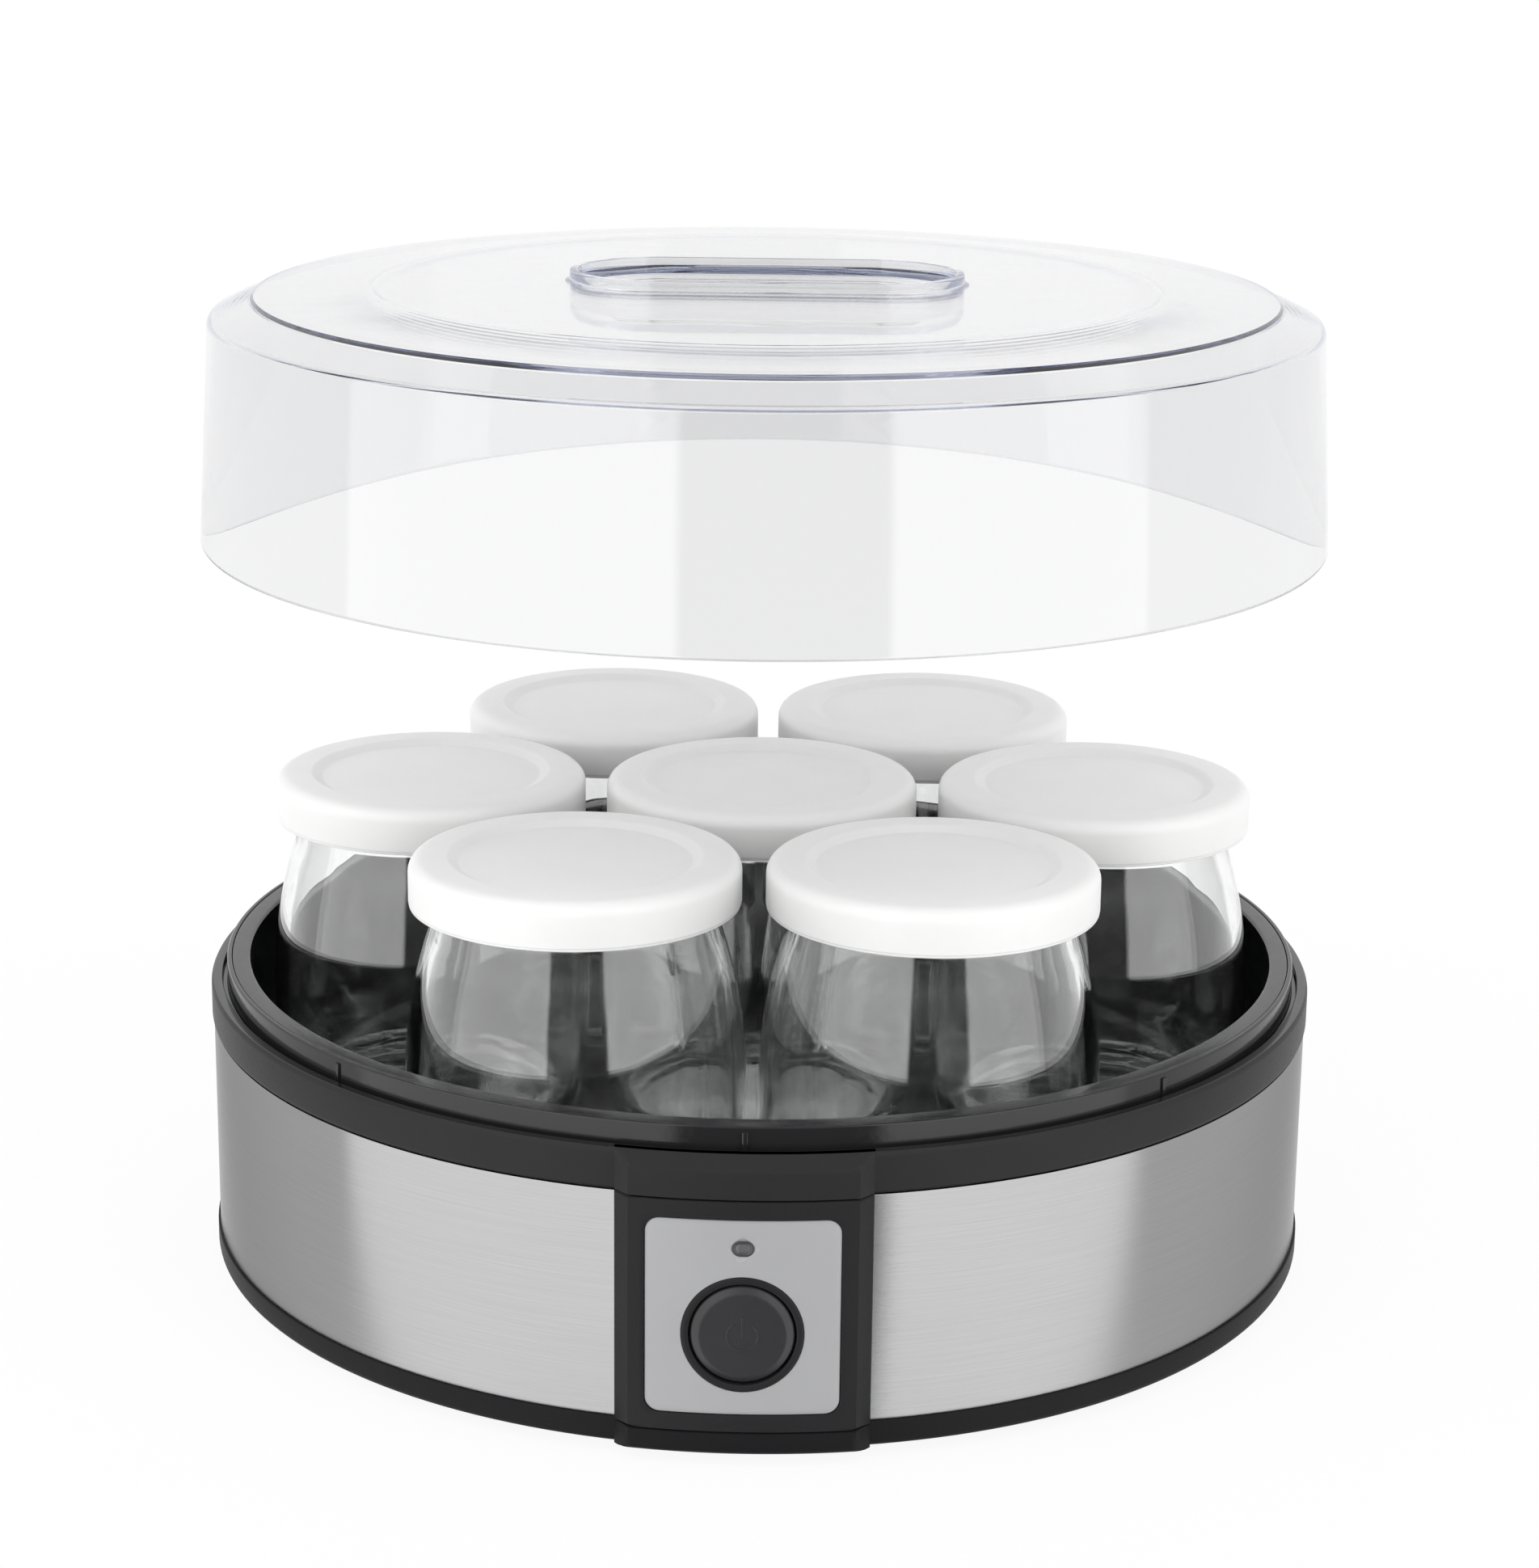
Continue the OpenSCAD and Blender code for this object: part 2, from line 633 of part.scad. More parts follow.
module panel_frame() {
    h = panel_z1 - panel_z0;
    plug_h = h - 3;
    color("#2e2e30") difference() {
        union() {
            translate([0, 0, panel_z0]) linear_extrude(h) difference() {
                panel_plan(panel_r, panel_w);
                circle(r = band_r + fit, $fn = 240);
            }
            translate([0, 0, panel_z0]) linear_extrude(h) difference() {
                panel_plan(panel_r - 1, band_opening - 2 * gap);
                circle(r = frame_back, $fn = 240);
            }
            // posts that carry the control board
            for (s = [-1, 1]) {
                front_rod(board_front, frame_back + 1, peg_r, s * peg_x, board_screw_z);
                front_rod(board_front, frame_back + 1, peg_r, s * peg_x, peg_z);
                front_rod(board_back, board_front + 1, 1.2, s * peg_x, peg_z);
            }
        }
        // seat of the silver insert
        difference() {
            upright_plate(
                insert_w + 2 * fit, insert_h + 2 * fit, insert_round + fit,
                insert_back - 6, panel_r + 1, insert_z - fit
            );
            translate([0, 0, insert_z - 2]) cylinder(h = insert_h + 4, r = insert_back, $fn = 240);
        }
        // stepped hole of the button
        front_rod(bezel_seat, panel_r + 1, bezel_r + 0.05, 0, button_z);
        front_rod(frame_back - 8, panel_r, button_r + 0.4, 0, button_z);
        front_rod(frame_back - 8, flange_seat, button_flange_r + 0.5, 0, button_z);
        // stepped hole of the indicator lens
        upright_plate(
            lens_l + 2 * fit, lens_w + 2 * fit, lens_w / 2,
            frame_back - 2, panel_r, lens_z - lens_w / 2 - fit
        );
        upright_plate(
            lens_l + 2 + 2 * fit, lens_w + 1.6 + 2 * fit, lens_w / 2,
            frame_back - 2, flange_seat, lens_z - lens_w / 2 - 0.8 - fit
        );
        // pilot holes for the board screws
        for (s = [-1, 1])
            front_rod(board_front - 1, frame_back + 0.5, board_screw_r + 0.05, s * peg_x, board_screw_z);
    }
}

module panel_insert() {
    color("#b8b9bc") difference() {
        intersection() {
            upright_plate(insert_w, insert_h, insert_round, insert_back - 6, panel_r, insert_z);
            translate([0, 0, insert_z - 1]) cylinder(h = insert_h + 2, r = insert_front, $fn = 240);
        }
        translate([0, 0, insert_z - 2]) cylinder(h = insert_h + 4, r = insert_back, $fn = 240);
        front_rod(frame_back, panel_r + 1, bezel_r + 0.05, 0, button_z);
        upright_plate(
            lens_l + 2 * fit, lens_w + 2 * fit, lens_w / 2, frame_back, panel_r, lens_z - lens_w / 2 - fit
        );
    }
}

module button_bezel() {
    color("#2a2a2c") difference() {
        intersection() {
            front_rod(bezel_seat, panel_r + 1, bezel_r, 0, button_z);
            translate([0, 0, button_z - bezel_r - 1])
                cylinder(h = 2 * bezel_r + 2, r = panel_r - 0.05, $fn = 240);
        }
        front_rod(bezel_seat - 1, panel_r + 1, button_r + 0.4, 0, button_z);
    }
}

module power_button() {
    flange_at = button_front - flange_seat;
    pocket_r = button_r - 1.5;
    stem_at = button_front - switch_front + stem_dip;
    color("#37373a") translate([0, -button_front, button_z]) rotate([-90, 0, 0]) rotate_extrude() polygon([
        [0, 0], [button_r - 2.4, 0.08], [button_r - 1.2, 0.3], [button_r - 0.4, 0.8], [button_r, 1.6],
        [button_r, flange_at], [button_flange_r, flange_at], [button_flange_r, flange_at + button_flange_t],
        [pocket_r, flange_at + button_flange_t], [pocket_r, button_skin], [stem_r, button_skin],
        [stem_r, stem_at], [0, stem_at]
    ]);
}

module button_spring() {
    coil_r = 3.6;
    strand_r = 0.25;
    turns = 4;
    steps = 20;
    sides = 8;
    start = switch_front + strand_r + 0.02;
    rise = button_front - button_skin - strand_r - 0.02 - start;
    rings = turns * steps;
    points = [
        for (i = [0:rings], j = [0:sides - 1])
            let (a = i * 360 / steps, b = j * 360 / sides, r = coil_r + strand_r * cos(b))
                [r * cos(a), -(start + rise * i / rings + strand_r * sin(b)), button_z + r * sin(a)]
    ];
    skin = [
        for (i = [0:rings - 1], j = [0:sides - 1])
            [i * sides + j, (i + 1) * sides + j, (i + 1) * sides + (j + 1) % sides, i * sides + (j + 1) % sides]
    ];
    ends = [[for (j = [0:sides - 1]) j], [for (j = [sides - 1:-1:0]) rings * sides + j]];
    color("#c2c4c8") polyhedron(points, concat(skin, ends), convexity = 10);
}

module indicator_lens() {
    color("#5c5d60") union() {
        intersection() {
            upright_plate(lens_l, lens_w, lens_w / 2 - 0.05, flange_seat - 0.5, panel_r, lens_z - lens_w / 2);
            translate([0, 0, lens_z - 5]) cylinder(h = 10, r = insert_front - 0.1, $fn = 240);
        }
        upright_plate(
            lens_l + 2, lens_w + 1.6, lens_w / 2 - 0.05,
            flange_seat - 1, flange_seat, lens_z - lens_w / 2 - 0.8
        );
    }
}

module led() {
    tip = flange_seat - 1 - gap;
    color("#d9d9d4") union() {
        front_rod(board_front, board_front + 1, 1.9, 0, lens_z);
        front_rod(board_front, tip - 1.5, 1.5, 0, lens_z);
        translate([0, -(tip - 1.5), lens_z]) sphere(r = 1.5, $fn = 32);
    }
}

module control_board() {
    color("#3f6b45") difference() {
        translate([-board_w / 2, -board_front, board_low_z])
            cube([board_w, board_t, board_top_z - board_low_z]);
        for (s = [-1, 1]) {
            front_rod(board_back - 1, board_front + 1, 1.3, s * peg_x, board_screw_z);
            front_rod(board_back - 1, board_front + 1, 1.3, s * peg_x, peg_z);
        }
    }
}

module switch_body() {
    half = switch_size / 2;
    color("#8d8f94") difference() {
        translate([-half, -switch_front, button_z - half])
            cube([switch_size, switch_front - board_front, switch_size]);
        front_rod(switch_front - button_travel - stem_dip - 0.2, switch_front + 1, stem_r + fit, 0, button_z);
    }
}

module board_screws() {
    color("#b9bcc0") for (s = [-1, 1]) union() {
        front_rod(board_back - board_head_h, board_back, board_head_r, s * peg_x, board_screw_z);
        front_rod(board_back - 0.5, frame_back - 0.5, board_screw_r, s * peg_x, board_screw_z);
    }
}

// ---- lid ----

// Outer side of the lid from rim to axis, drawn in by the wall thickness
function lid_outline(rim_t, t) = concat(
    [[lid_r - rim_t, 0]],
    arc([lid_r - lid_lean - shoulder_r, shoulder_h - shoulder_r * sin(66)], shoulder_r - t, 3, 66),
    [
        [step_r + 0.5, step_foot_h - t], [step_r, step_foot_h + 0.4 - t], [step_r - 0.6, step_top_h - t],
        [crease_r, crease_h - t], [grip_w / 2 + 2, crown_h - t], [0, crown_h - t]
    ]
);

// A long oval solid: two half turns of a profile joined by a straight length of it
module oval(straight) {
    for (s = [0, 180]) rotate(s) translate([straight / 2, 0, 0])
        rotate([0, 0, -90]) rotate_extrude(angle = 180) children();
    rotate([90, 0, 90]) linear_extrude(straight, center = true) union() {
        children();
        mirror([1, 0]) children();
    }
}

module lid() {
    straight = grip_l - grip_w;
    out_r = grip_w / 2;
    in_r = out_r - lid_wall;
    under_h = grip_floor_h - lid_wall;
    color("#dfe6ee", 0.35) translate([0, 0, lid_z]) difference() {
        union() {
            rotate_extrude($fn = 240)
                polygon(concat(lid_outline(0, 0), reversed(lid_outline(lid_rim_wall, lid_wall))));
            oval(straight) polygon(concat(
                [[0, under_h]],
                arc([out_r - grip_round, under_h + grip_round], grip_round, -90, 0, 4),
                [[out_r, grip_top_h - 0.4], [out_r - 0.4, grip_top_h], [0, grip_top_h]]
            ));
        }
        oval(straight) polygon(concat(
            [[0, grip_floor_h]],
            arc([in_r - grip_round + 1, grip_floor_h + grip_round - 1], grip_round - 1, -90, 0, 4),
            [[in_r, grip_top_h + 1], [0, grip_top_h + 1]]
        ));
    }
}

// ---- jars and caps ----

// Outer side of a jar from the middle of its bottom to the top of its bead
function jar_outline(t, base_t) =
    let (
        foot_round = 9, flank_r = 160, shoulder_r = 104,
        foot_x = jar_r - pow(jar_belly_h - foot_round, 2) / (2 * flank_r),
        rise = jar_h - bead_h - jar_belly_h - 6.5,
        turn = asin(rise / shoulder_r)
    )
    concat(
        [[0, base_t]],
        arc([foot_x - foot_round, foot_round], foot_round - t, -90, 0),
        arc([jar_r - shoulder_r, jar_belly_h], shoulder_r - t, 0, turn, 10)
    );

module jar(i) {
    neck_r = bead_r - 3.2;
    mouth_r = bead_r - 4.2;
    bead_z = jar_h - bead_h;
    outer = jar_outline(0, 0);
    inner = jar_outline(jar_wall, jar_base);
    place = jar_places[i - 1];
    color("#d5dbdf", 0.4) translate([place.x, place.y, pot_z]) rotate_extrude() polygon(concat(
        outer,
        [
            [neck_r, bead_z - 2], [neck_r + 0.2, bead_z - 1], [bead_r - 1, bead_z], [bead_r, bead_z + 1],
            [bead_r, jar_h - 1.2], [bead_r - 0.4, jar_h - 0.4], [bead_r - 1.3, jar_h],
            [mouth_r + 1, jar_h], [mouth_r + 0.3, jar_h - 0.4], [mouth_r, jar_h - 1.2],
            [neck_r - jar_wall, bead_z - 1.5]
        ],
        reversed([for (p = inner) [p.x, max(p.y, jar_base)]])
    ));
}

module jar_cap(i) {
    in_r = bead_r + gap;
    top_in = cap_h - cap_top;
    plug_r = bead_r - 4.2 - 1.6;
    place = jar_places[i - 1];
    color("#f4f4f4") translate([place.x, place.y, cap_z]) rotate_extrude() polygon(concat(
        [[in_r, 0], [cap_r - 0.3, 0], [cap_r, 0.3]],
        arc([cap_r - cap_round, cap_h - cap_round], cap_round, 0, 90),
        [
            [cap_disc_r + 2.4, cap_h], [cap_disc_r, cap_h - cap_disc_dip], [0, cap_h - cap_disc_dip],
            [0, top_in - 0.6], [plug_r, top_in - 0.6], [plug_r + 0.8, top_in], [in_r, top_in]
        ]
    ));
}

bottom_shell();
feet();
shell_screws();
steel_band();
top_ring();
pot();
heat_spreader();
heater_wire();
insulation_pad();
heat_shield();
shield_screws();
thermostat();
thermal_fuse();
terminal_block();
cord_bushing();
wiring();
panel_frame();
panel_insert();
button_bezel();
power_button();
button_spring();
indicator_lens();
led();
control_board();
switch_body();
board_screws();
lid();
jar(1);  // jar_1
jar(2);  // jar_2
jar(3);  // jar_3
jar(4);  // jar_4
jar(5);  // jar_5
jar(6);  // jar_6
jar(7);  // jar_7
jar_cap(1);  // jar_cap_1
jar_cap(2);  // jar_cap_2
jar_cap(3);  // jar_cap_3
jar_cap(4);  // jar_cap_4
jar_cap(5);  // jar_cap_5
jar_cap(6);  // jar_cap_6
jar_cap(7);  // jar_cap_7
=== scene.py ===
"""Looks of a seven-jar yogurt maker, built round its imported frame."""
import logging
import math
from collections.abc import Iterable, Sequence
from dataclasses import dataclass, field
from enum import Enum
from typing import ClassVar

import bmesh
import bpy
from mathutils import Matrix, Vector


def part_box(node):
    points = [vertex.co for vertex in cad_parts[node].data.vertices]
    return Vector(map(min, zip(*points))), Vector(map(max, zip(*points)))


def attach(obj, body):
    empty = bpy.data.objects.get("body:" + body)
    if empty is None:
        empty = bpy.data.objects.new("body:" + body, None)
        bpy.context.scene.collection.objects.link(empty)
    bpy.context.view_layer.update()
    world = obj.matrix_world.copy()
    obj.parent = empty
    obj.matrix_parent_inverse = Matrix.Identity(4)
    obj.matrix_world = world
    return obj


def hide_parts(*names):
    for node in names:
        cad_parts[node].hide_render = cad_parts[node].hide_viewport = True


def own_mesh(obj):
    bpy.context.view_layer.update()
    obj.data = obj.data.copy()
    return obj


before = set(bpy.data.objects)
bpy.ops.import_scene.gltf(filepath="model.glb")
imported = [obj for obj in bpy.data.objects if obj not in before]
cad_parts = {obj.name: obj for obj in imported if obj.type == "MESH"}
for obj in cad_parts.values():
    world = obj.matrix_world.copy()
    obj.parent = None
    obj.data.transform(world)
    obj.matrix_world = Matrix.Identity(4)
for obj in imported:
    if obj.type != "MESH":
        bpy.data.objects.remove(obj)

LOG = logging.getLogger("yogurt_maker")
MM = 0.001
TURN = 2 * math.pi

Socket = bpy.types.NodeSocket
Colour = tuple[float, float, float]


# ---------------------------------------------------------------- measuring the frame

@dataclass(frozen=True)
class Span:
    """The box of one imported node, in millimetres."""

    lo: Vector
    hi: Vector

    @classmethod
    def of(cls, node: str) -> "Span":
        """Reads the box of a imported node."""
        lo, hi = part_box(node)
        return cls(Vector(lo) / MM, Vector(hi) / MM)

    @property
    def radius(self) -> float:
        """Radius of a round node that stands on the middle axis."""
        return self.hi.x

    @property
    def centre(self) -> Vector:
        """Middle of the box."""
        return (self.lo + self.hi) / 2


# ---------------------------------------------------------------- shader writing

class NodeGraph:
    """Writes nodes into the tree of a material or of the world."""

    def __init__(self, tree: bpy.types.NodeTree) -> None:
        """Empties a tree to write into."""
        self.tree = tree
        self.tree.nodes.clear()

    def node(self, kind: str, **inputs: object) -> bpy.types.Node:
        """Adds a node and fills its sockets.

        Args:
            kind: Blender's class name of the node.
            **inputs: values or output sockets by socket name, with _ for a space.

        Returns:
            The new node.
        """
        made = self.tree.nodes.new(kind)
        for key, value in inputs.items():
            self.feed(made.inputs[key.replace("_", " ")], value)
        return made

    def feed(self, socket: Socket, value: object) -> None:
        """Sets a socket to a value, or links an output to it.

        Args:
            socket: the input that is filled.
            value: a number, a tuple or another node's output.
        """
        if isinstance(value, Socket):
            self.tree.links.new(value, socket)
        else:
            socket.default_value = value

    def maths(self, kind: str, *values: object) -> Socket:
        """One step of arithmetic.

        Args:
            kind: Blender's name of the operation.
            *values: sockets or numbers that it works on.

        Returns:
            The result's socket.
        """
        made = self.node("ShaderNodeMath")
        made.operation = kind
        for socket, value in zip(made.inputs, values):
            self.feed(socket, value)
        return made.outputs[0]

    def mixed(self, share: Socket, first: Socket, second: Socket) -> Socket:
        """Mixes two shaders.

        Args:
            share: 0 for the first shader, 1 for the second.
            first: shader that shows at 0.
            second: shader that shows at 1.

        Returns:
            The mixed shader's socket.
        """
        made = self.node("ShaderNodeMixShader")
        for socket, value in zip(made.inputs, (share, first, second)):
            self.feed(socket, value)
        return made.outputs[0]

    def window(self, value: Socket, low: float, high: float, soft: float) -> Socket:
        """Tells whether a value lies between two limits.

        Args:
            value: the value that is tested.
            low: lower limit.
            high: upper limit.
            soft: how far each limit fades to either side.

        Returns:
            A socket that is 1 between the limits and 0 elsewhere.
        """
        steps = []
        for edge, before, after in ((low, 0, 1), (high, 1, 0)):
            made = self.node(
                "ShaderNodeMapRange", Value=value,
                From_Min=edge - soft, From_Max=edge + soft, To_Min=before, To_Max=after,
            )
            made.interpolation_type = "SMOOTHSTEP"
            steps.append(made.outputs["Result"])
        return self.maths("MULTIPLY", *steps)


class Shader(NodeGraph):
    """Writes the node tree of one material."""

    LEAST, MOST = 0.3, 0.7

    def __init__(self, name: str) -> None:
        """Makes an empty material with an output.

        Args:
            name: name of the material.
        """
        self.material = bpy.data.materials.new(name)
        self.material.use_nodes = True
        super().__init__(self.material.node_tree)
        self.output = self.tree.nodes.new("ShaderNodeOutputMaterial")

    def place(self, scale: Sequence[float] = (1, 1, 1)) -> Socket:
        """Object coordinates.

        Args:
            scale: how much they are stretched along each axis.

        Returns:
            The coordinates' socket.
        """
        source = self.node("ShaderNodeTexCoord")
        mapping = self.node("ShaderNodeMapping", Vector=source.outputs["Object"], Scale=tuple(scale))
        return mapping.outputs["Vector"]

    def noise(self, scale: float, detail: float = 2, stretch: Sequence[float] = (1, 1, 1)) -> Socket:
        """Value of a noise that is even in all directions unless it is stretched."""
        made = self.node("ShaderNodeTexNoise", Vector=self.place(stretch), Scale=scale, Detail=detail)
        return made.outputs["Fac"]

    def between(self, value: Socket, low: float, high: float) -> Socket:
        """Maps a noise value onto a range.

        Args:
            value: the noise, which usually lies between LEAST and MOST.
            low: result at the least value.
            high: result at the most value.

        Returns:
            The result's socket.
        """
        made = self.node(
            "ShaderNodeMapRange", Value=value,
            From_Min=self.LEAST, From_Max=self.MOST, To_Min=low, To_Max=high,
        )
        return made.outputs["Result"]

    def shades(self, value: Socket, colour: Colour, spread: float) -> Socket:
        """A colour that wanders a little darker and lighter.

        Args:
            value: noise that leads it.
            colour: its middle.
            spread: share by which it changes each way.

        Returns:
            The colour's socket.
        """
        made = self.node("ShaderNodeMix", Factor=self.between(value, 0, 1))
        made.data_type = "RGBA"
        dark = tuple(c * (1 - spread) for c in colour)
        light = tuple(min(1, c * (1 + spread)) for c in colour)
        self.feed(made.inputs[6], (*dark, 1))
        self.feed(made.inputs[7], (*light, 1))
        return made.outputs[2]

    def bump(self, height: Socket, depth: float, below: Socket | None = None) -> Socket:
        """Normal of a surface raised by a height.

        Args:
            height: value from 0 to 1.
            depth: rise in metres from 0 to 1.
            below: normal of a bump that lies under this one.

        Returns:
            The normal's socket.
        """
        made = self.node("ShaderNodeBump", Height=height, Strength=1.0, Distance=depth)
        if below is not None:
            self.feed(made.inputs["Normal"], below)
        return made.outputs["Normal"]

    def surface(self, **inputs: object) -> bpy.types.Node:
        """Adds the main shader and links it to the output.

        Args:
            **inputs: values or output sockets by socket name, with _ for a space.

        Returns:
            The shader's node.
        """
        made = self.node("ShaderNodeBsdfPrincipled", **inputs)
        self.tree.links.new(made.outputs["BSDF"], self.output.inputs["Surface"])
        return made


# ---------------------------------------------------------------- finishes

@dataclass(frozen=True)
class MouldedPlastic:
    """Moulded plastic with a fine spark-eroded grain."""

    name: str
    colour: Colour
    roughness: float = 0.42
    grain: float = 2600.0
    grain_depth: float = 0.00002
    mottle: float = 0.08
    shine: float = 0.5

    def material(self) -> bpy.types.Material:
        """Builds the material.

        Returns:
            The finished material.
        """
        s = Shader(self.name)
        cloud = s.noise(28, 3)
        grain = s.noise(self.grain, 2)
        s.surface(
            Base_Color=s.shades(cloud, self.colour, self.mottle),
            Roughness=s.between(grain, self.roughness - 0.04, self.roughness + 0.05),
            Normal=s.bump(grain, self.grain_depth),
            IOR=1.5,
            Specular_IOR_Level=self.shine,
        )
        return s.material


@dataclass(frozen=True)
class Polyethylene:
    """Soft white plastic that lets a little light in."""

    name: str
    colour: Colour = (0.8, 0.8, 0.795)
    roughness: float = 0.4
    glow: float = 0.12
    glow_reach: float = 0.003

    def material(self) -> bpy.types.Material:
        """Builds the material.

        Returns:
            The finished material.
        """
        s = Shader(self.name)
        cloud = s.noise(60, 3)
        grain = s.noise(1800, 2)
        wave = s.noise(90, 1)
        made = s.surface(
            Base_Color=s.shades(cloud, self.colour, 0.012),
            Roughness=s.between(grain, self.roughness - 0.04, self.roughness + 0.06),
            Normal=s.bump(grain, 0.000012, s.bump(wave, 0.00008)),
            IOR=1.5,
        )
        made.inputs["Subsurface Weight"].default_value = self.glow
        made.inputs["Subsurface Radius"].default_value = (self.glow_reach,) * 3
        made.inputs["Subsurface Scale"].default_value = 1.0
        return s.material


class Brushing(Enum):
    """Which way the brush marks of a metal run."""

    AROUND = "around the upright axis"
    PLAIN = "no marks, rolled sheet"


@dataclass(frozen=True)
class Metal:
    """Bare metal with brush marks or a rolled skin."""

    name: str
    colour: Colour
    roughness: float
    brushing: Brushing
    anisotropy: float = 0.0
    streak: float = 0.08
    edge_tint: float = 1.0

    def stretch(self) -> tuple[float, float, float]:
        """How the marks' noise is squeezed along each axis."""
        return (1, 1, 200) if self.brushing is Brushing.AROUND else (1, 1, 1)

    def material(self) -> bpy.types.Material:
        """Builds the material.

        Returns:
            The finished material.
        """
        s = Shader(self.name)
        scale = 40 if self.brushing is not Brushing.PLAIN else 400
        coarse = s.noise(scale, 4, self.stretch())
        fine = s.noise(scale * 3, 3, self.stretch())
        made = s.surface(
            Base_Color=s.shades(coarse, self.colour, self.streak),
            Roughness=s.between(fine, self.roughness - 0.05, self.roughness + 0.06),
            Normal=s.bump(fine, 0.000004),
            Metallic=1.0,
            Specular_Tint=(self.edge_tint, self.edge_tint, self.edge_tint, 1),
        )
        if self.anisotropy:
            made.inputs["Anisotropic"].default_value = self.anisotropy
            made.inputs["Anisotropic Rotation"].default_value = 0.25
            tangent = s.node("ShaderNodeTangent")
            tangent.direction_type = "RADIAL"
            tangent.axis = "Z"
            s.feed(made.inputs["Tangent"], tangent.outputs["Tangent"])
        return s.material


@dataclass(frozen=True)
class Clear:
    """Clear plastic or glass."""

    name: str
    ior: float
    tint: Colour = (1, 1, 1)
    depth_colour: Colour = (0.7, 0.78, 0.95)
    density: float = 6.0
    ripple: float = 0.00002
    ripple_scale: float = 40.0
    coat: float = 0.0

    def material(self) -> bpy.types.Material:
        """Builds the material.

        Returns:
            The finished material.
        """
        s = Shader(self.name)
        ripple = s.noise(self.ripple_scale, 2)
        s.surface(
            Base_Color=(*self.tint, 1),
            Roughness=0.0,
            IOR=self.ior,
            Transmission_Weight=1.0,
            Coat_Weight=self.coat,
            Coat_Roughness=0.01,
            Coat_IOR=1.55,
            Normal=s.bump(ripple, self.ripple),
        )
        absorb = s.node(
            "ShaderNodeVolumeAbsorption", Color=(*self.depth_colour, 1), Density=self.density,
        )
        s.tree.links.new(absorb.outputs["Volume"], s.output.inputs["Volume"])
        return s.material


class Finishes:
    """All the finishes of the object, each built once."""

    def __init__(self) -> None:
        """Builds every material."""
        smooth = {"grain": 900, "grain_depth": 0.000006}
        self.charcoal = MouldedPlastic(
            "charcoal_plastic", (0.021, 0.021, 0.022), 0.42, shine=0.12,
        ).material()
        self.polished = MouldedPlastic(
            "polished_charcoal", (0.014, 0.014, 0.015), 0.12, **smooth, shine=0.4,
        ).material()
        self.base_black = MouldedPlastic(
            "base_plastic", (0.011, 0.011, 0.012), 0.46, shine=0.08,
        ).material()
        self.panel = MouldedPlastic(
            "panel_plastic", (0.0155, 0.0155, 0.0166), 0.46, shine=0.16,
        ).material()
        self.button = MouldedPlastic(
            "button_plastic", (0.026, 0.026, 0.028), 0.36, shine=0.35,
        ).material()
        self.pot = MouldedPlastic("pot_plastic", (0.01, 0.01, 0.0115), 0.22, **smooth).material()
        self.cap = Polyethylene("white_polyethylene").material()
        self.band = Metal(
            "brushed_band", (0.328, 0.328, 0.331), 0.2, Brushing.AROUND,
            anisotropy=1.0, streak=0.04, edge_tint=0.6,
        ).material()
        self.insert = MouldedPlastic(
            "silver_lacquer", (0.355, 0.355, 0.362), 0.34, **smooth, mottle=0.03,
        ).material()
        self.lid = Clear(
            "clear_plastic", 1.49, (0.89, 0.89, 0.893), (0.42, 0.46, 0.62), density=14.0,
        ).material()
        self.glass = Clear(
            "pressed_glass", 1.52, depth_colour=(0.5, 0.6, 0.58), density=12.0,
            ripple=0.00012, ripple_scale=55.0, coat=0.85,
        ).material()
        self.lens = MouldedPlastic(
            "smoked_lens", (0.11, 0.11, 0.115), 0.18, grain=600, grain_depth=0.000004,
        ).material()
        self.lens_rim = MouldedPlastic("lens_rim", (0.05, 0.05, 0.052), 0.3).material()
        self.rubber = MouldedPlastic(
            "foot_rubber", (0.018, 0.018, 0.019), 0.7, grain=1400, grain_depth=0.00004,
        ).material()
        self.screw = Metal("zinc_plate", (0.62, 0.62, 0.64), 0.3, Brushing.PLAIN).material()
        self.sheet = Metal("zinc_sheet", (0.55, 0.57, 0.59), 0.38, Brushing.PLAIN).material()
        self.aluminium = Metal("aluminium_sheet", (0.78, 0.78, 0.79), 0.34, Brushing.PLAIN).material()
        self.felt = MouldedPlastic(
            "fibre_felt", (0.72, 0.7, 0.64), 0.95, grain=700, grain_depth=0.0002,
        ).material()
        self.silicone = MouldedPlastic("silicone_sleeve", (0.72, 0.69, 0.6), 0.55).material()
        self.nylon = MouldedPlastic("natural_nylon", (0.78, 0.76, 0.7), 0.45).material()
        self.brown = MouldedPlastic("phenolic_brown", (0.14, 0.075, 0.045), 0.3).material()
        self.laminate = MouldedPlastic("board_laminate", (0.05, 0.15, 0.075), 0.35).material()
        self.grey_nylon = MouldedPlastic("grey_nylon", (0.26, 0.27, 0.29), 0.45).material()
        self.wire = MouldedPlastic("wire_insulation", (0.16, 0.07, 0.035), 0.5).material()
        self.epoxy = MouldedPlastic("led_epoxy", (0.7, 0.7, 0.68), 0.15).material()


# ---------------------------------------------------------------- outlines and profiles

@dataclass(frozen=True)
class Corner:
    """One corner of a profile, in millimetres, with the radius that rounds it."""

    r: float
    z: float
    bend: float = 0.0


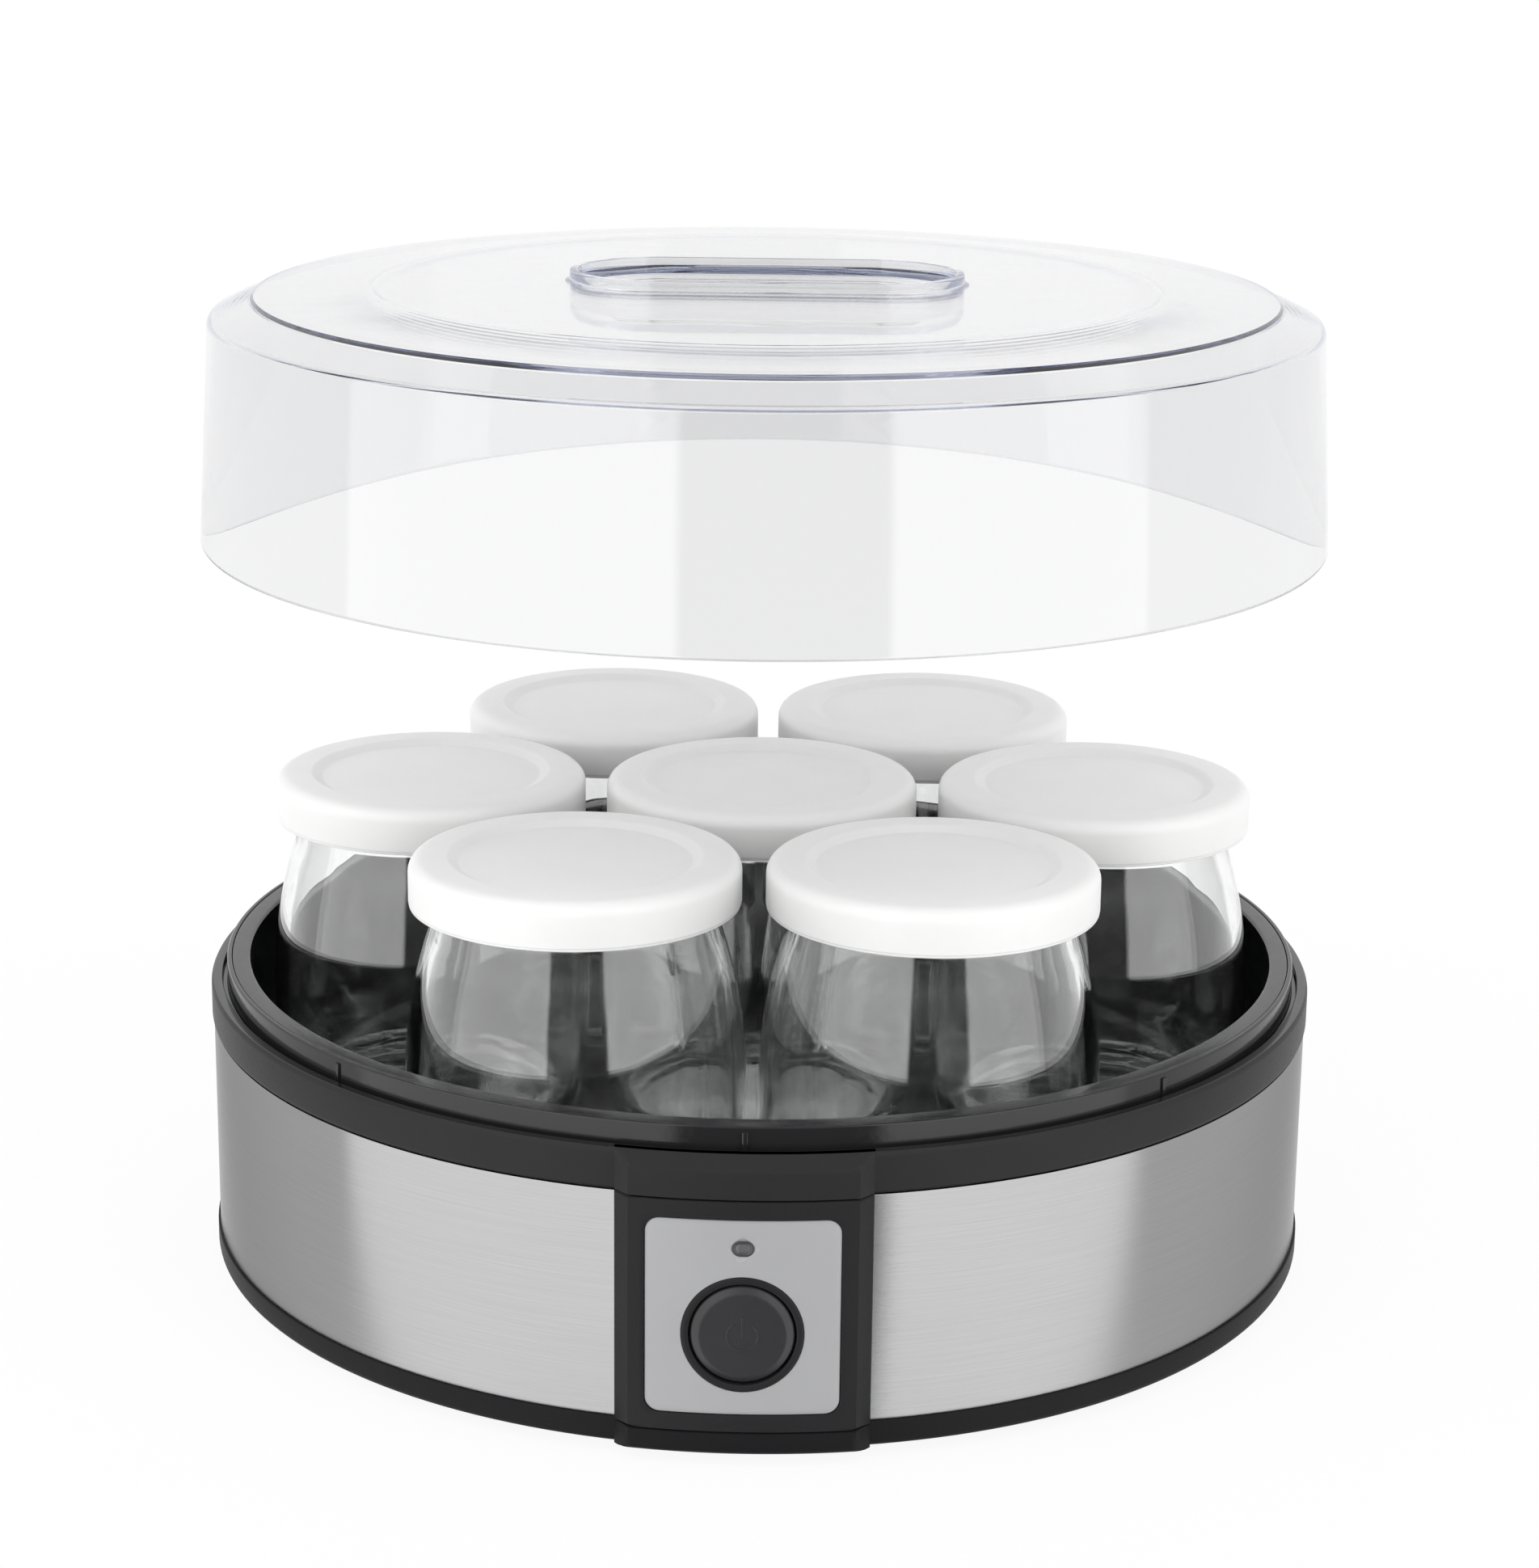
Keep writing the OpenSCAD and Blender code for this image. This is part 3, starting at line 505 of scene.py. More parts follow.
def rounded(corners: Sequence[Corner], closed: bool, steps: int = 5) -> list[Vector]:
    """Rounds the corners of a profile with arcs.

    Args:
        corners: the corners in order.
        closed: whether the last corner joins the first.
        steps: straight pieces in each arc.

    Returns:
        Points (r, z) of the rounded profile.
    """
    points: list[Vector] = []
    count = len(corners)
    for i, c in enumerate(corners):
        here = Vector((c.r, c.z))
        if c.bend <= 0 or (not closed and i in (0, count - 1)):
            points.append(here)
            continue
        before = Vector((corners[i - 1].r, corners[i - 1].z)) - here
        after = Vector((corners[(i + 1) % count].r, corners[(i + 1) % count].z)) - here
        half = before.angle(after) / 2
        reach = min(c.bend / math.tan(half), 0.499 * before.length, 0.499 * after.length)
        bend = reach * math.tan(half)
        middle = here + (before.normalized() + after.normalized()).normalized() * bend / math.sin(half)
        start = here + before.normalized() * reach - middle
        end = here + after.normalized() * reach - middle
        sweep = start.angle_signed(end)
        for k in range(steps + 1):
            turn = Matrix.Rotation(-sweep * k / steps, 2)
            points.append(middle + turn @ start)
    return points


def arc(centre: tuple[float, float], radius: float, start: float, end: float, steps: int = 8) -> list[Corner]:
    """Corners along an arc, with angles in degrees."""
    angles = [math.radians(start + (end - start) * k / steps) for k in range(steps + 1)]
    return [Corner(centre[0] + radius * math.cos(a), centre[1] + radius * math.sin(a)) for a in angles]


def oval(radius: float, stretch: float = 0.0, steps: int = 256) -> list[Vector]:
    """A circle, or a long oval whose two halves are moved apart.

    Args:
        radius: radius of the ends.
        stretch: how far each half is moved along X.
        steps: points in the whole loop.

    Returns:
        Points of the loop.
    """
    points = []
    for k in range(steps):
        a = TURN * (k + 0.5) / steps
        side = math.copysign(stretch, math.cos(a))
        points.append(Vector((radius * math.cos(a) + side, radius * math.sin(a))))
    return points


def rounded_rectangle(
    width: float, height: float, corner: float, side: int = 14, bend: int = 7
) -> list[Vector]:
    """A rectangle with round corners, with the same number of points on every side.

    Args:
        width: size across.
        height: size upwards.
        corner: radius of the corners.
        side: straight parts of each side.
        bend: straight parts of each corner.

    Returns:
        Points of the loop.
    """
    points = []
    half_w, half_h = width / 2 - corner, height / 2 - corner
    for quarter, (sx, sz) in enumerate(((1, 1), (-1, 1), (-1, -1), (1, -1))):
        middle = Vector((sx * half_w, sz * half_h))
        for k in range(bend + 1):
            a = math.pi / 2 * (quarter + k / bend)
            points.append(middle + corner * Vector((math.cos(a), math.sin(a))))
        nx, nz = ((-1, 1), (-1, -1), (1, -1), (1, 1))[quarter]
        a = math.pi / 2 * (quarter + 1)
        last = points[-1]
        following = Vector((nx * half_w, nz * half_h)) + corner * Vector((math.cos(a), math.sin(a)))
        points.extend(last.lerp(following, k / side) for k in range(1, side))
    return points


# ---------------------------------------------------------------- mesh building

def finish_mesh(bm: bmesh.types.BMesh, name: str, sharp: float = 38.0) -> bpy.types.Object:
    """Turns a bmesh in millimetres into a smooth-shaded object at the origin.

    Args:
        bm: the mesh, which is freed.
        name: name of the object.
        sharp: edges that turn by more than this many degrees stay sharp.

    Returns:
        The object.
    """
    bmesh.ops.remove_doubles(bm, verts=bm.verts, dist=1e-4)
    bmesh.ops.dissolve_degenerate(bm, edges=bm.edges, dist=1e-5)
    bmesh.ops.recalc_face_normals(bm, faces=bm.faces)
    bmesh.ops.scale(bm, vec=(MM, MM, MM), verts=bm.verts)
    for face in bm.faces:
        face.smooth = True
    for edge in bm.edges:
        edge.smooth = edge.calc_face_angle(0.0) < math.radians(sharp)
    mesh = bpy.data.meshes.new(name)
    bm.to_mesh(mesh)
    bm.free()
    made = bpy.data.objects.new(name, mesh)
    bpy.context.scene.collection.objects.link(made)
    return made


def spun(
    bm: bmesh.types.BMesh,
    points: Sequence[Vector],
    closed: bool,
    steps: int = 192,
    centre: Sequence[float] = (0.0, 0.0),
    start: float = 0.0,
    sweep: float = TURN,
    rise: float = 0.0,
) -> None:
    """Spins a profile about an upright axis.

    Args:
        bm: mesh that receives the result.
        points: profile (r, z) in millimetres.
        closed: whether the profile's ends are joined.
        steps: parts of the turn.
        centre: place of the axis.
        start: angle of the profile in radians.
        sweep: how far it is spun.
        rise: how far it climbs along the axis, as the wire of a spring does.
    """
    axis = Vector((centre[0], centre[1], 0))
    way = Vector((math.cos(start), math.sin(start), 0))
    verts = [bm.verts.new(axis + way * p.x + Vector((0, 0, p.y))) for p in points]
    edges = [bm.edges.new(pair) for pair in zip(verts, verts[1:])]
    if closed:
        edges.append(bm.edges.new((verts[-1], verts[0])))
    whole = abs(sweep - TURN) < 1e-6
    if not whole:
        bm.faces.new(verts)
    made = bmesh.ops.spin(
        bm, geom=verts + edges, cent=axis, axis=(0, 0, 1), dvec=(0, 0, rise / steps),
        angle=sweep, steps=steps, use_merge=whole, use_duplicate=False,
    )
    if not whole:
        last = [g for g in made["geom_last"] if isinstance(g, bmesh.types.BMEdge)]
        bmesh.ops.edgeloop_fill(bm, edges=last)


class Skin:
    """A closed skin grown ring by ring from a first loop."""

    def __init__(self, bm: bmesh.types.BMesh, points: Sequence[Vector], capped: bool = True) -> None:
        """Makes the first loop.

        Args:
            bm: mesh that receives the skin.
            points: the loop's places in millimetres.
            capped: whether a flat face closes it.
        """
        self.bm = bm
        self.first = [bm.verts.new(p) for p in points]
        self.order = self.first
        self.edges = [bm.edges.new(pair) for pair in self.neighbours(self.first)]
        if capped:
            bm.faces.new(self.first)

    @staticmethod
    def neighbours(
        loop: Sequence[bmesh.types.BMVert],
    ) -> list[tuple[bmesh.types.BMVert, bmesh.types.BMVert]]:
        """Every corner of a loop with the next one."""
        return list(zip(loop, [*loop[1:], loop[0]]))

    def grow(self, points: Sequence[Vector]) -> None:
        """Extrudes the last loop and moves it to new places.

        Args:
            points: the new places, one for each corner of the loop.
        """
        made = bmesh.ops.extrude_edge_only(self.bm, edges=self.edges)["geom"]
        fresh = {g for g in made if isinstance(g, bmesh.types.BMVert)}
        partner = {}
        for v in fresh:
            for e in v.link_edges:
                other = e.other_vert(v)
                if other not in fresh:
                    partner[other] = v
        self.order = [partner[v] for v in self.order]
        for v, p in zip(self.order, points):
            v.co = p
        self.edges = [self.bm.edges.get(pair) for pair in self.neighbours(self.order)]

    def cap(self) -> None:
        """Closes the last loop with a flat face."""
        self.bm.faces.new(self.order)

    def join(self) -> None:
        """Bridges the last loop back to the first, which makes the skin a tube."""
        pairs = self.neighbours(self.first) + self.neighbours(self.order)
        bmesh.ops.bridge_loops(self.bm, edges=[self.bm.edges.get(pair) for pair in pairs])


def block(bm: bmesh.types.BMesh, size: Sequence[float], place: Matrix, bevel: float) -> None:
    """A box with bevelled edges.

    Args:
        bm: mesh that receives it.
        size: length along each axis in millimetres.
        place: where it goes, in millimetres.
        bevel: width of the bevel.
    """
    made = bmesh.ops.create_cube(bm, size=1.0)
    bmesh.ops.scale(bm, vec=size, verts=made["verts"])
    edges = list({e for v in made["verts"] for e in v.link_edges})
    result = bmesh.ops.bevel(
        bm, geom=edges, offset=bevel, segments=2, profile=0.5, affect="EDGES", material=-1
    )
    verts = list({v for f in result["faces"] for v in f.verts} | {v for v in made["verts"] if v.is_valid})
    bmesh.ops.transform(bm, matrix=place, verts=verts)


def turned(angle: float, reach: float, height: float) -> Matrix:
    """A place at a distance from the middle axis, turned round it by an angle in radians."""
    return Matrix.Rotation(angle, 4, "Z") @ Matrix.Translation((reach, 0, height))


def cylinder_cutter(place: Matrix, radius: float, length: float, steps: int = 48) -> bpy.types.Object:
    """Makes a loose cylinder that cuts a hole.

    Args:
        place: its middle, with its length along Z.
        radius: its radius in millimetres.
        length: its length in millimetres.
        steps: sides of its outline.

    Returns:
        The cutter.
    """
    bm = bmesh.new()
    bmesh.ops.create_cone(
        bm, cap_ends=True, segments=steps, radius1=radius, radius2=radius, depth=length, matrix=place,
    )
    return finish_mesh(bm, "cutter")


def box_cutter(place: Matrix, size: Sequence[float]) -> bpy.types.Object:
    """Makes a loose box that cuts a hole.

    Args:
        place: its middle.
        size: length along each axis in millimetres.

    Returns:
        The cutter.
    """
    bm = bmesh.new()
    made = bmesh.ops.create_cube(bm, size=1.0)
    bmesh.ops.scale(bm, vec=size, verts=made["verts"])
    bmesh.ops.transform(bm, matrix=place, verts=made["verts"])
    return finish_mesh(bm, "cutter")


def cut(piece: bpy.types.Object, cutters: Iterable[bpy.types.Object]) -> None:
    """Cuts loose solids out of a piece and removes them.

    Args:
        piece: the piece that is cut.
        cutters: solids that take material away.
    """
    for cutter in cutters:
        modifier = piece.modifiers.new("cut", "BOOLEAN")
        modifier.operation = "DIFFERENCE"
        modifier.solver = "EXACT"
        modifier.object = cutter
        graph = bpy.context.evaluated_depsgraph_get()
        result = bpy.data.meshes.new_from_object(piece.evaluated_get(graph))
        piece.modifiers.clear()
        old = piece.data
        piece.data = result
        bpy.data.meshes.remove(old)
        bpy.data.objects.remove(cutter)


def hand_over(
    piece: bpy.types.Object, material: bpy.types.Material, body: str, nodes: Sequence[str]
) -> None:
    """Dresses a finished piece and gives it to its body.

    Args:
        piece: the new piece.
        material: its finish.
        body: body that it rides on.
        nodes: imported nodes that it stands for.
    """
    piece.data.materials.clear()
    piece.data.materials.append(material)
    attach(piece, body)
    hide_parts(*nodes)
    LOG.info("%s: %d faces, rides on %s", piece.name, len(piece.data.polygons), body)


# ---------------------------------------------------------------- casing

@dataclass
class FrontPlan:
    """The control panel's outline seen from above: a round front with chamfered sides."""

    ring_radius: float
    width: float = 50.2
    out: float = 2.7
    chamfer: float = 2.8
    side_back: float = 5.3
    arc_steps: int = 28

    @property
    def front(self) -> float:
        """Radius of the panel's front face."""
        return self.ring_radius + self.out

    @property
    def shoulder_x(self) -> float:
        """Where the chamfer starts."""
        return self.width / 2 - self.chamfer

    def depth(self, x: float, radius: float | None = None) -> float:
        """Y of the panel's face.

        Args:
            x: place across the panel.
            radius: radius of the front, or None for the panel's own.

        Returns:
            The face's Y in millimetres.
        """
        radius = self.front if radius is None else radius
        shoulder_y = -math.sqrt(self.front**2 - self.shoulder_x**2)
        side_y = -(self.front - self.side_back)
        share = (abs(x) - self.shoulder_x) / self.chamfer
        slope = shoulder_y + (side_y - shoulder_y) * share
        return max(-math.sqrt(radius**2 - x * x), slope)

    def loop(self, radius: float, back: float, z: float, inset: float = 0.0) -> list[Vector]:
        """The closed outline at one level.

        Args:
            radius: radius of its front.
            back: radius of its rear side.
            z: the level.
            inset: how far it is drawn in from the sides and the front.

        Returns:
            Points of the loop.
        """
        half = self.width / 2 - inset
        xs = [-half + 2 * half * k / (2 * self.arc_steps) for k in range(2 * self.arc_steps + 1)]
        for bend in (-self.shoulder_x, self.shoulder_x):
            nearest = min(range(len(xs)), key=lambda i: abs(xs[i] - bend))
            xs[nearest] = bend
        front = [Vector((x, self.depth(x, radius) + inset, z)) for x in xs]
        rear = [Vector((x, -math.sqrt(back**2 - x * x), z)) for x in reversed(xs)]
        return front + rear


@dataclass
class Casing:
    """Base of the yogurt maker: shell, feet, steel band, ring and pot."""

    finishes: Finishes
    ring: Span = field(default_factory=lambda: Span.of("top_ring"))
    shell: Span = field(default_factory=lambda: Span.of("bottom_shell"))
    band: Span = field(default_factory=lambda: Span.of("steel_band"))
    pot: Span = field(default_factory=lambda: Span.of("pot"))
    bushing: Span = field(default_factory=lambda: Span.of("cord_bushing"))
    seat_width: float = 2.4
    groove_width: float = 1.1
    groove_depth: float = 1.6
    lip_wall: float = 1.0
    lip_height: float = 4.4
    pot_wall: float = 1.6
    pot_flange: float = 4.0
    pot_draft: float = 2.2
    pot_floor: float = 26.0
    pot_drop: float = 0.1
    rib_count: int = 8
    rib_size: tuple[float, float, float] = (1.0, 1.2, 5.0)
    brow_drop: float = 2.7
    seat_round: float = 0.45
    panel_gap: float = 0.15
    shell_floor: float = 2.2
    shell_round: float = 1.6
    shell_gap: float = 0.6
    vent_count: int = 16
    vent_at: float = 48.0
    vent_size: tuple[float, float, float] = (16.0, 2.4, 10.0)
    hole_depth: float = 12.0
    foot_at: float = 98.0
    foot_hole: float = 5.1
    foot_angles: tuple[int, ...] = (45, 135, 225, 315)
    screw_hole: float = 3.3
    screw_angles: tuple[int, ...] = (20, 160, 200, 340)
    band_wall: float = 0.5
    band_opening: float = 44.0
    band_gap: float = 0.02
    bushing_hole: float = 6.1
    bushing_neck: float = 6.0
    bushing_flange: float = 2.4
    cord_bore: float = 3.3

    def build(self) -> None:
        """Builds and dresses every outer piece of the base."""
        self.build_shell()
        self.build_feet()
        self.build_band()
        self.build_ring()
        self.build_pot()
        self.build_bushing()

    @property
    def plan(self) -> FrontPlan:
        """Outline that the ring's cap and the shell's bulge share with the panel."""
        return FrontPlan(self.ring.radius)

    @property
    def seat_z(self) -> float:
        """Height of the lid's seat."""
        return self.ring.hi.z - self.lip_height

    def build_shell(self) -> None:
        """Bottom shell with its skirt, the bulge under the panel, vents and holes."""
        low, skirt, edge = self.shell.lo.z, self.band.lo.z, self.shell.radius
        floor, inner = low + self.shell_floor, self.band.radius - self.shell_gap
        bm = bmesh.new()
        profile = rounded([
            Corner(0, low), Corner(edge, low, self.shell_round), Corner(edge, skirt, 0.25),
            Corner(inner, skirt), Corner(inner, skirt + 4, 0.3), Corner(inner - 2, skirt + 4, 0.3),
            Corner(inner - 2, floor, 0.8), Corner(0, floor),
        ], closed=False)
        spun(bm, profile, closed=False)
        self.add_bulge(bm, inner - 3)
        shell = finish_mesh(bm, "bottom_casing")
        cutters = [
            box_cutter(turned(TURN * k / self.vent_count, self.vent_at, low), self.vent_size)
            for k in range(self.vent_count)
        ]
        for angles, radius in ((self.foot_angles, self.foot_hole), (self.screw_angles, self.screw_hole)):
            for a in angles:
                place = turned(math.radians(a), self.foot_at, low)
                cutters.append(cylinder_cutter(place, radius, self.hole_depth))
        cut(shell, cutters)
        hand_over(shell, self.finishes.base_black, "base", ["bottom_shell"])

    def add_bulge(self, bm: bmesh.types.BMesh, back: float) -> None:
        """Adds the shell's bulge under the panel, rounded below like the skirt.

        Args:
            bm: mesh that receives it.
            back: radius of its rear side.
        """
        plan, low = self.plan, self.shell.lo.z
        top = Span.of("panel_frame").lo.z - self.panel_gap
        skin = Skin(bm, plan.loop(plan.front - self.shell_round, back, low))
        for inset, rise in ((0.8, 0.22), (0.22, 0.8), (0, self.shell_round)):
            skin.grow(plan.loop(plan.front - inset, back, low + rise))
        skin.grow(plan.loop(plan.front, back, top - 0.25))
        skin.grow(plan.loop(plan.front - 0.2, back, top, 0.2))
        skin.cap()

    def build_feet(self) -> None:
        """Four rubber feet with rounded soles."""
        low = self.shell.lo.z
        bm = bmesh.new()
        profile = rounded([
            Corner(0, 0.25), Corner(4.6, 0.25, 0.2), Corner(5.2, 0, 0.2), Corner(8, 0, 0.8),
            Corner(8, low, 0.2), Corner(5, low), Corner(5, low + 2.8, 0.5), Corner(0, low + 2.8),
        ], closed=False)
        for a in self.foot_angles:
            t = math.radians(a)
            spun(bm, profile, False, 64, (self.foot_at * math.cos(t), self.foot_at * math.sin(t)))
        hand_over(finish_mesh(bm, "rubber_feet"), self.finishes.rubber, "base", ["feet"])

    def build_band(self) -> None:
        """Steel band, open behind the panel and pierced for the cord bushing."""
        outer, inner = self.band.radius, self.band.radius - self.band_wall
        half_gap = math.asin(self.band_opening / 2 / outer)
        start = -math.pi / 2 + half_gap
        bm = bmesh.new()
        low, high = self.band.lo.z + self.band_gap, self.band.hi.z - self.band_gap
        profile = rounded([
            Corner(outer, low, 0.12), Corner(outer, high, 0.12), Corner(inner, high), Corner(inner, low),
        ], closed=True, steps=3)
        spun(bm, profile, True, 240, start=start, sweep=TURN - 2 * half_gap)
        band = finish_mesh(bm, "steel_wrap")
        hole = Matrix.Translation((0, outer, self.bushing.centre.z)) @ Matrix.Rotation(math.pi / 2, 4, "X")
        cut(band, [cylinder_cutter(hole, self.bushing_hole, 10, 64)])
        hand_over(band, self.finishes.band, "base", ["steel_band"])

    def build_ring(self) -> None:
        """Top ring with lid seat, groove, lip, centring ribs and the cap above the panel."""
        edge, low, seat = self.ring.radius, self.band.hi.z, self.seat_z
        seat_in, inside = edge - self.seat_width, self.band.radius - 2.5
        lip = seat_in - self.groove_width
        lip_in = lip - self.lip_wall
        top, groove = self.ring.hi.z, seat - self.groove_depth
        bm = bmesh.new()
        profile = rounded([
            Corner(inside, low), Corner(edge, low, 1.3), Corner(edge, seat - 0.9, 1.2),
            Corner(edge - self.seat_round, seat, 0.25), Corner(seat_in, seat, 0.2),
            Corner(seat_in, groove, 0.2), Corner(lip, groove, 0.2), Corner(lip, top, 0.45),
            Corner(lip_in, top, 0.2), Corner(lip_in, top - 2.1), Corner(lip_in - 2.2, top - 2.1),
            Corner(lip_in - 2.2, top - 4.3), Corner(inside, top - 8),
        ], closed=True)
        spun(bm, profile, True, 240)
        for k in range(self.rib_count):
            block(bm, self.rib_size, turned(TURN * k / self.rib_count, lip, seat + 0.9), 0.2)
        self.add_brow(bm, seat_in + 0.4)
        made = finish_mesh(bm, "collar_ring", 24)
        hand_over(made, self.finishes.charcoal, "base", ["top_ring"])
        made.data.materials.append(self.finishes.polished)
        for face in made.data.polygons:
            spot = face.center / MM
            if spot.z > groove - 0.1 and spot.xy.length < edge - self.seat_round:
                face.material_index = 1

    def add_brow(self, bm: bmesh.types.BMesh, back: float) -> None:
        """Adds the ring's cap above the panel, which slopes back to the seat.

        Args:
            bm: mesh that receives it.
            back: radius of its rear side.
        """
        plan, seat = self.plan, self.seat_z
        base = Span.of("panel_frame").hi.z + self.panel_gap
        brow, nose, steps = seat - self.brow_drop, 0.12, 6
        skin = Skin(bm, plan.loop(plan.front - 0.2, back, base, 0.2))
        skin.grow(plan.loop(plan.front, back, base + 0.25))
        skin.grow(plan.loop(plan.front, back, brow - 0.35))
        skin.grow(plan.loop(plan.front - nose, back, brow))
        for k in range(1, steps + 1):
            share = k / steps
            radius = plan.front - nose + (self.ring.radius - self.seat_round - plan.front + nose) * share
            skin.grow(plan.loop(radius, back, brow + (seat - brow) * share))
        skin.cap()

    def build_pot(self) -> None:
        """The tub that the jars stand in."""
        top = self.ring.hi.z - self.pot_drop
        edge = self.pot.radius
        mouth = edge - self.pot_flange
        foot = mouth - self.pot_draft
        floor, under = self.pot_floor, self.pot_floor - self.pot_wall
        bm = bmesh.new()
        profile = rounded([
            Corner(0, floor), Corner(foot, floor, 4), Corner(mouth, top, 0.7), Corner(edge, top, 0.3),
            Corner(edge, top - 2, 0.2), Corner(mouth + self.pot_wall, top - 2, 0.4),
            Corner(foot + self.pot_wall, under, 5.6), Corner(0, under),
        ], closed=False, steps=8)
        spun(bm, profile, closed=False)
        hand_over(finish_mesh(bm, "inner_tub"), self.finishes.pot, "base", ["pot"])

    def build_bushing(self) -> None:
        """Round bushing low at the rear, open for a cord."""
        height, rear, inner = self.bushing.centre.z, self.bushing.hi.y, self.bushing.lo.y
        edge, bore, neck = self.bushing.hi.x, self.cord_bore, self.bushing_neck
        inside, outside = inner + self.bushing_flange, self.band.radius + 0.1
        bm = bmesh.new()
        profile = rounded([
            Corner(bore, inner, 0.3), Corner(edge, inner, 0.3), Corner(edge, inside, 0.3),
            Corner(neck, inside), Corner(neck, outside), Corner(edge, outside, 0.2),
            Corner(edge, rear, 0.7), Corner(bore, rear, 0.7),
        ], closed=True)
        spun(bm, profile, True, 64)
        turn = Matrix.Translation((0, 0, height)) @ Matrix.Rotation(-math.pi / 2, 4, "X")
        bmesh.ops.transform(bm, matrix=turn, verts=bm.verts)
        made = finish_mesh(bm, "cord_grommet")
        hand_over(made, self.finishes.base_black, "base", ["cord_bushing"])


# ---------------------------------------------------------------- control panel

@dataclass
class ControlPanel:
    """Front panel: frame, silver insert, bezel, button and indicator window."""

    finishes: Finishes
    plan: FrontPlan
    panel: Span = field(default_factory=lambda: Span.of("panel_frame"))
    plate: Span = field(default_factory=lambda: Span.of("panel_insert"))
    bezel: Span = field(default_factory=lambda: Span.of("button_bezel"))
    button: Span = field(default_factory=lambda: Span.of("power_button"))
    lens: Span = field(default_factory=lambda: Span.of("indicator_lens"))
    spring: Span = field(default_factory=lambda: Span.of("button_spring"))
    insert_dip: float = 0.3
    insert_corner: float = 2.9
    button_radius: float = 10.1
    bezel_gap: float = 0.4
    bezel_steps: int = 96
    stem_radius: float = 1.9
    sign_radius: float = 3.0
    sign_opening: float = 64.0
    sign_bar: float = 4.4
    sign_bar_at: float = 1.8
    sign_line: float = 0.55
    sign_rise: float = 0.09
    sign_sink: float = 0.2
    sign_bend: float = 0.08
    spring_strand: float = 0.25
    spring_turns: int = 4
    travel: float = 2.0
    lens_length: float = 4.3
    lens_height: float = 3.2

    def build(self) -> None:
        """Builds and dresses every piece of the panel."""
        self.build_frame()
        self.build_insert()
        self.build_bezel()
        self.build_button()
        self.build_spring()
        self.build_lens()

    @property
    def facing(self) -> Matrix:
        """Lays an upright axis along the button's axis, with its top to the front."""
        return Matrix.Translation((0, 0, self.bezel.centre.z)) @ Matrix.Rotation(math.pi / 2, 4, "X")

    def on_front(self, point: Vector, radius: float, middle_z: float) -> Vector:
        """Wraps a flat point (x, z from the middle) onto the front of a given radius."""
        return Vector((point.x, self.plan.depth(point.x, radius), middle_z + point.y))

    def build_frame(self) -> None:
        """Dark frame with a window for the insert."""
        middle = (self.panel.lo.z + self.panel.hi.z) / 2
        shift = self.plate.centre.z - middle
        height = self.panel.hi.z - self.panel.lo.z
        hole_w, hole_h = self.plate.hi.x * 2 + 0.2, self.plate.hi.z - self.plate.lo.z + 0.2
        front, corner = self.plan.front, self.insert_corner
        bm = bmesh.new()

        def window(grow: float, radius: float) -> list[Vector]:
            """Loop round the window, a little wider than it by grow."""
            loop = rounded_rectangle(hole_w + 2 * grow, hole_h + 2 * grow, corner + grow)
            return [self.on_front(p, radius, middle + shift) for p in loop]

        def outline(width: float, tall: float, radius: float, back: float = 0.0) -> list[Vector]:
            """Loop round the frame.

            Args:
                width: size across.
                tall: size upwards.
                radius: front radius that it lies on.
                back: how far it is then set back.

            Returns:
                Points of the loop.
            """
            loop = rounded_rectangle(width, tall, 0.25)
            flat = [self.on_front(p, radius, middle) for p in loop]
            return [p + Vector((0, back, 0)) for p in flat]

        skin = Skin(bm, window(0, front - 1.6))
        for grow, radius in ((0, front - 0.22), (0.06, front - 0.06), (0.22, front)):
            skin.grow(window(grow, radius))
        inner = window(0.22, front)
        outer = outline(2 * self.plan.shoulder_x, height - 0.8, front)
        for k in range(1, 5):
            mixed = [a.lerp(b, k / 4) for a, b in zip(inner, outer)]
            skin.grow([Vector((p.x, self.plan.depth(p.x), p.z)) for p in mixed])
        skin.grow(outline(self.plan.width - 0.3, height - 0.25, front))
        skin.grow(outline(self.plan.width, height, front, 0.2))
        skin.grow([Vector((p.x, -math.sqrt((self.plan.front - 3.5) ** 2 - p.x**2), p.z))
                   for p in outline(self.plan.width, height, front)])
        skin.cap()
        made = finish_mesh(bm, "panel_surround", 30)
        hand_over(made, self.finishes.panel, "base", ["panel_frame"])

    def disc_loop(self, share: float, hole: float, radius: float, shrink: float = 0.0) -> list[Vector]:
        """Loop somewhere between the button's round hole and the plate's edge.

        Args:
            share: 0 at the hole, 1 at the edge.
            hole: radius of the hole.
            radius: front radius that it lies on.
            shrink: how far the plate's edge is drawn in.

        Returns:
            Points of the loop.
        """
        width = self.plate.hi.x * 2 - 2 * shrink
        height = self.plate.hi.z - self.plate.lo.z - 2 * shrink
        edge = rounded_rectangle(width, height, self.insert_corner - shrink)
        middle = self.plate.centre.z
        drop = self.bezel.centre.z - middle
        loop = []
        for p in edge:
            ray = Vector((p.x, p.y - drop))
            near = Vector((0, drop)) + ray.normalized() * hole
            loop.append(self.on_front(near.lerp(p, share), radius, middle))
        return loop

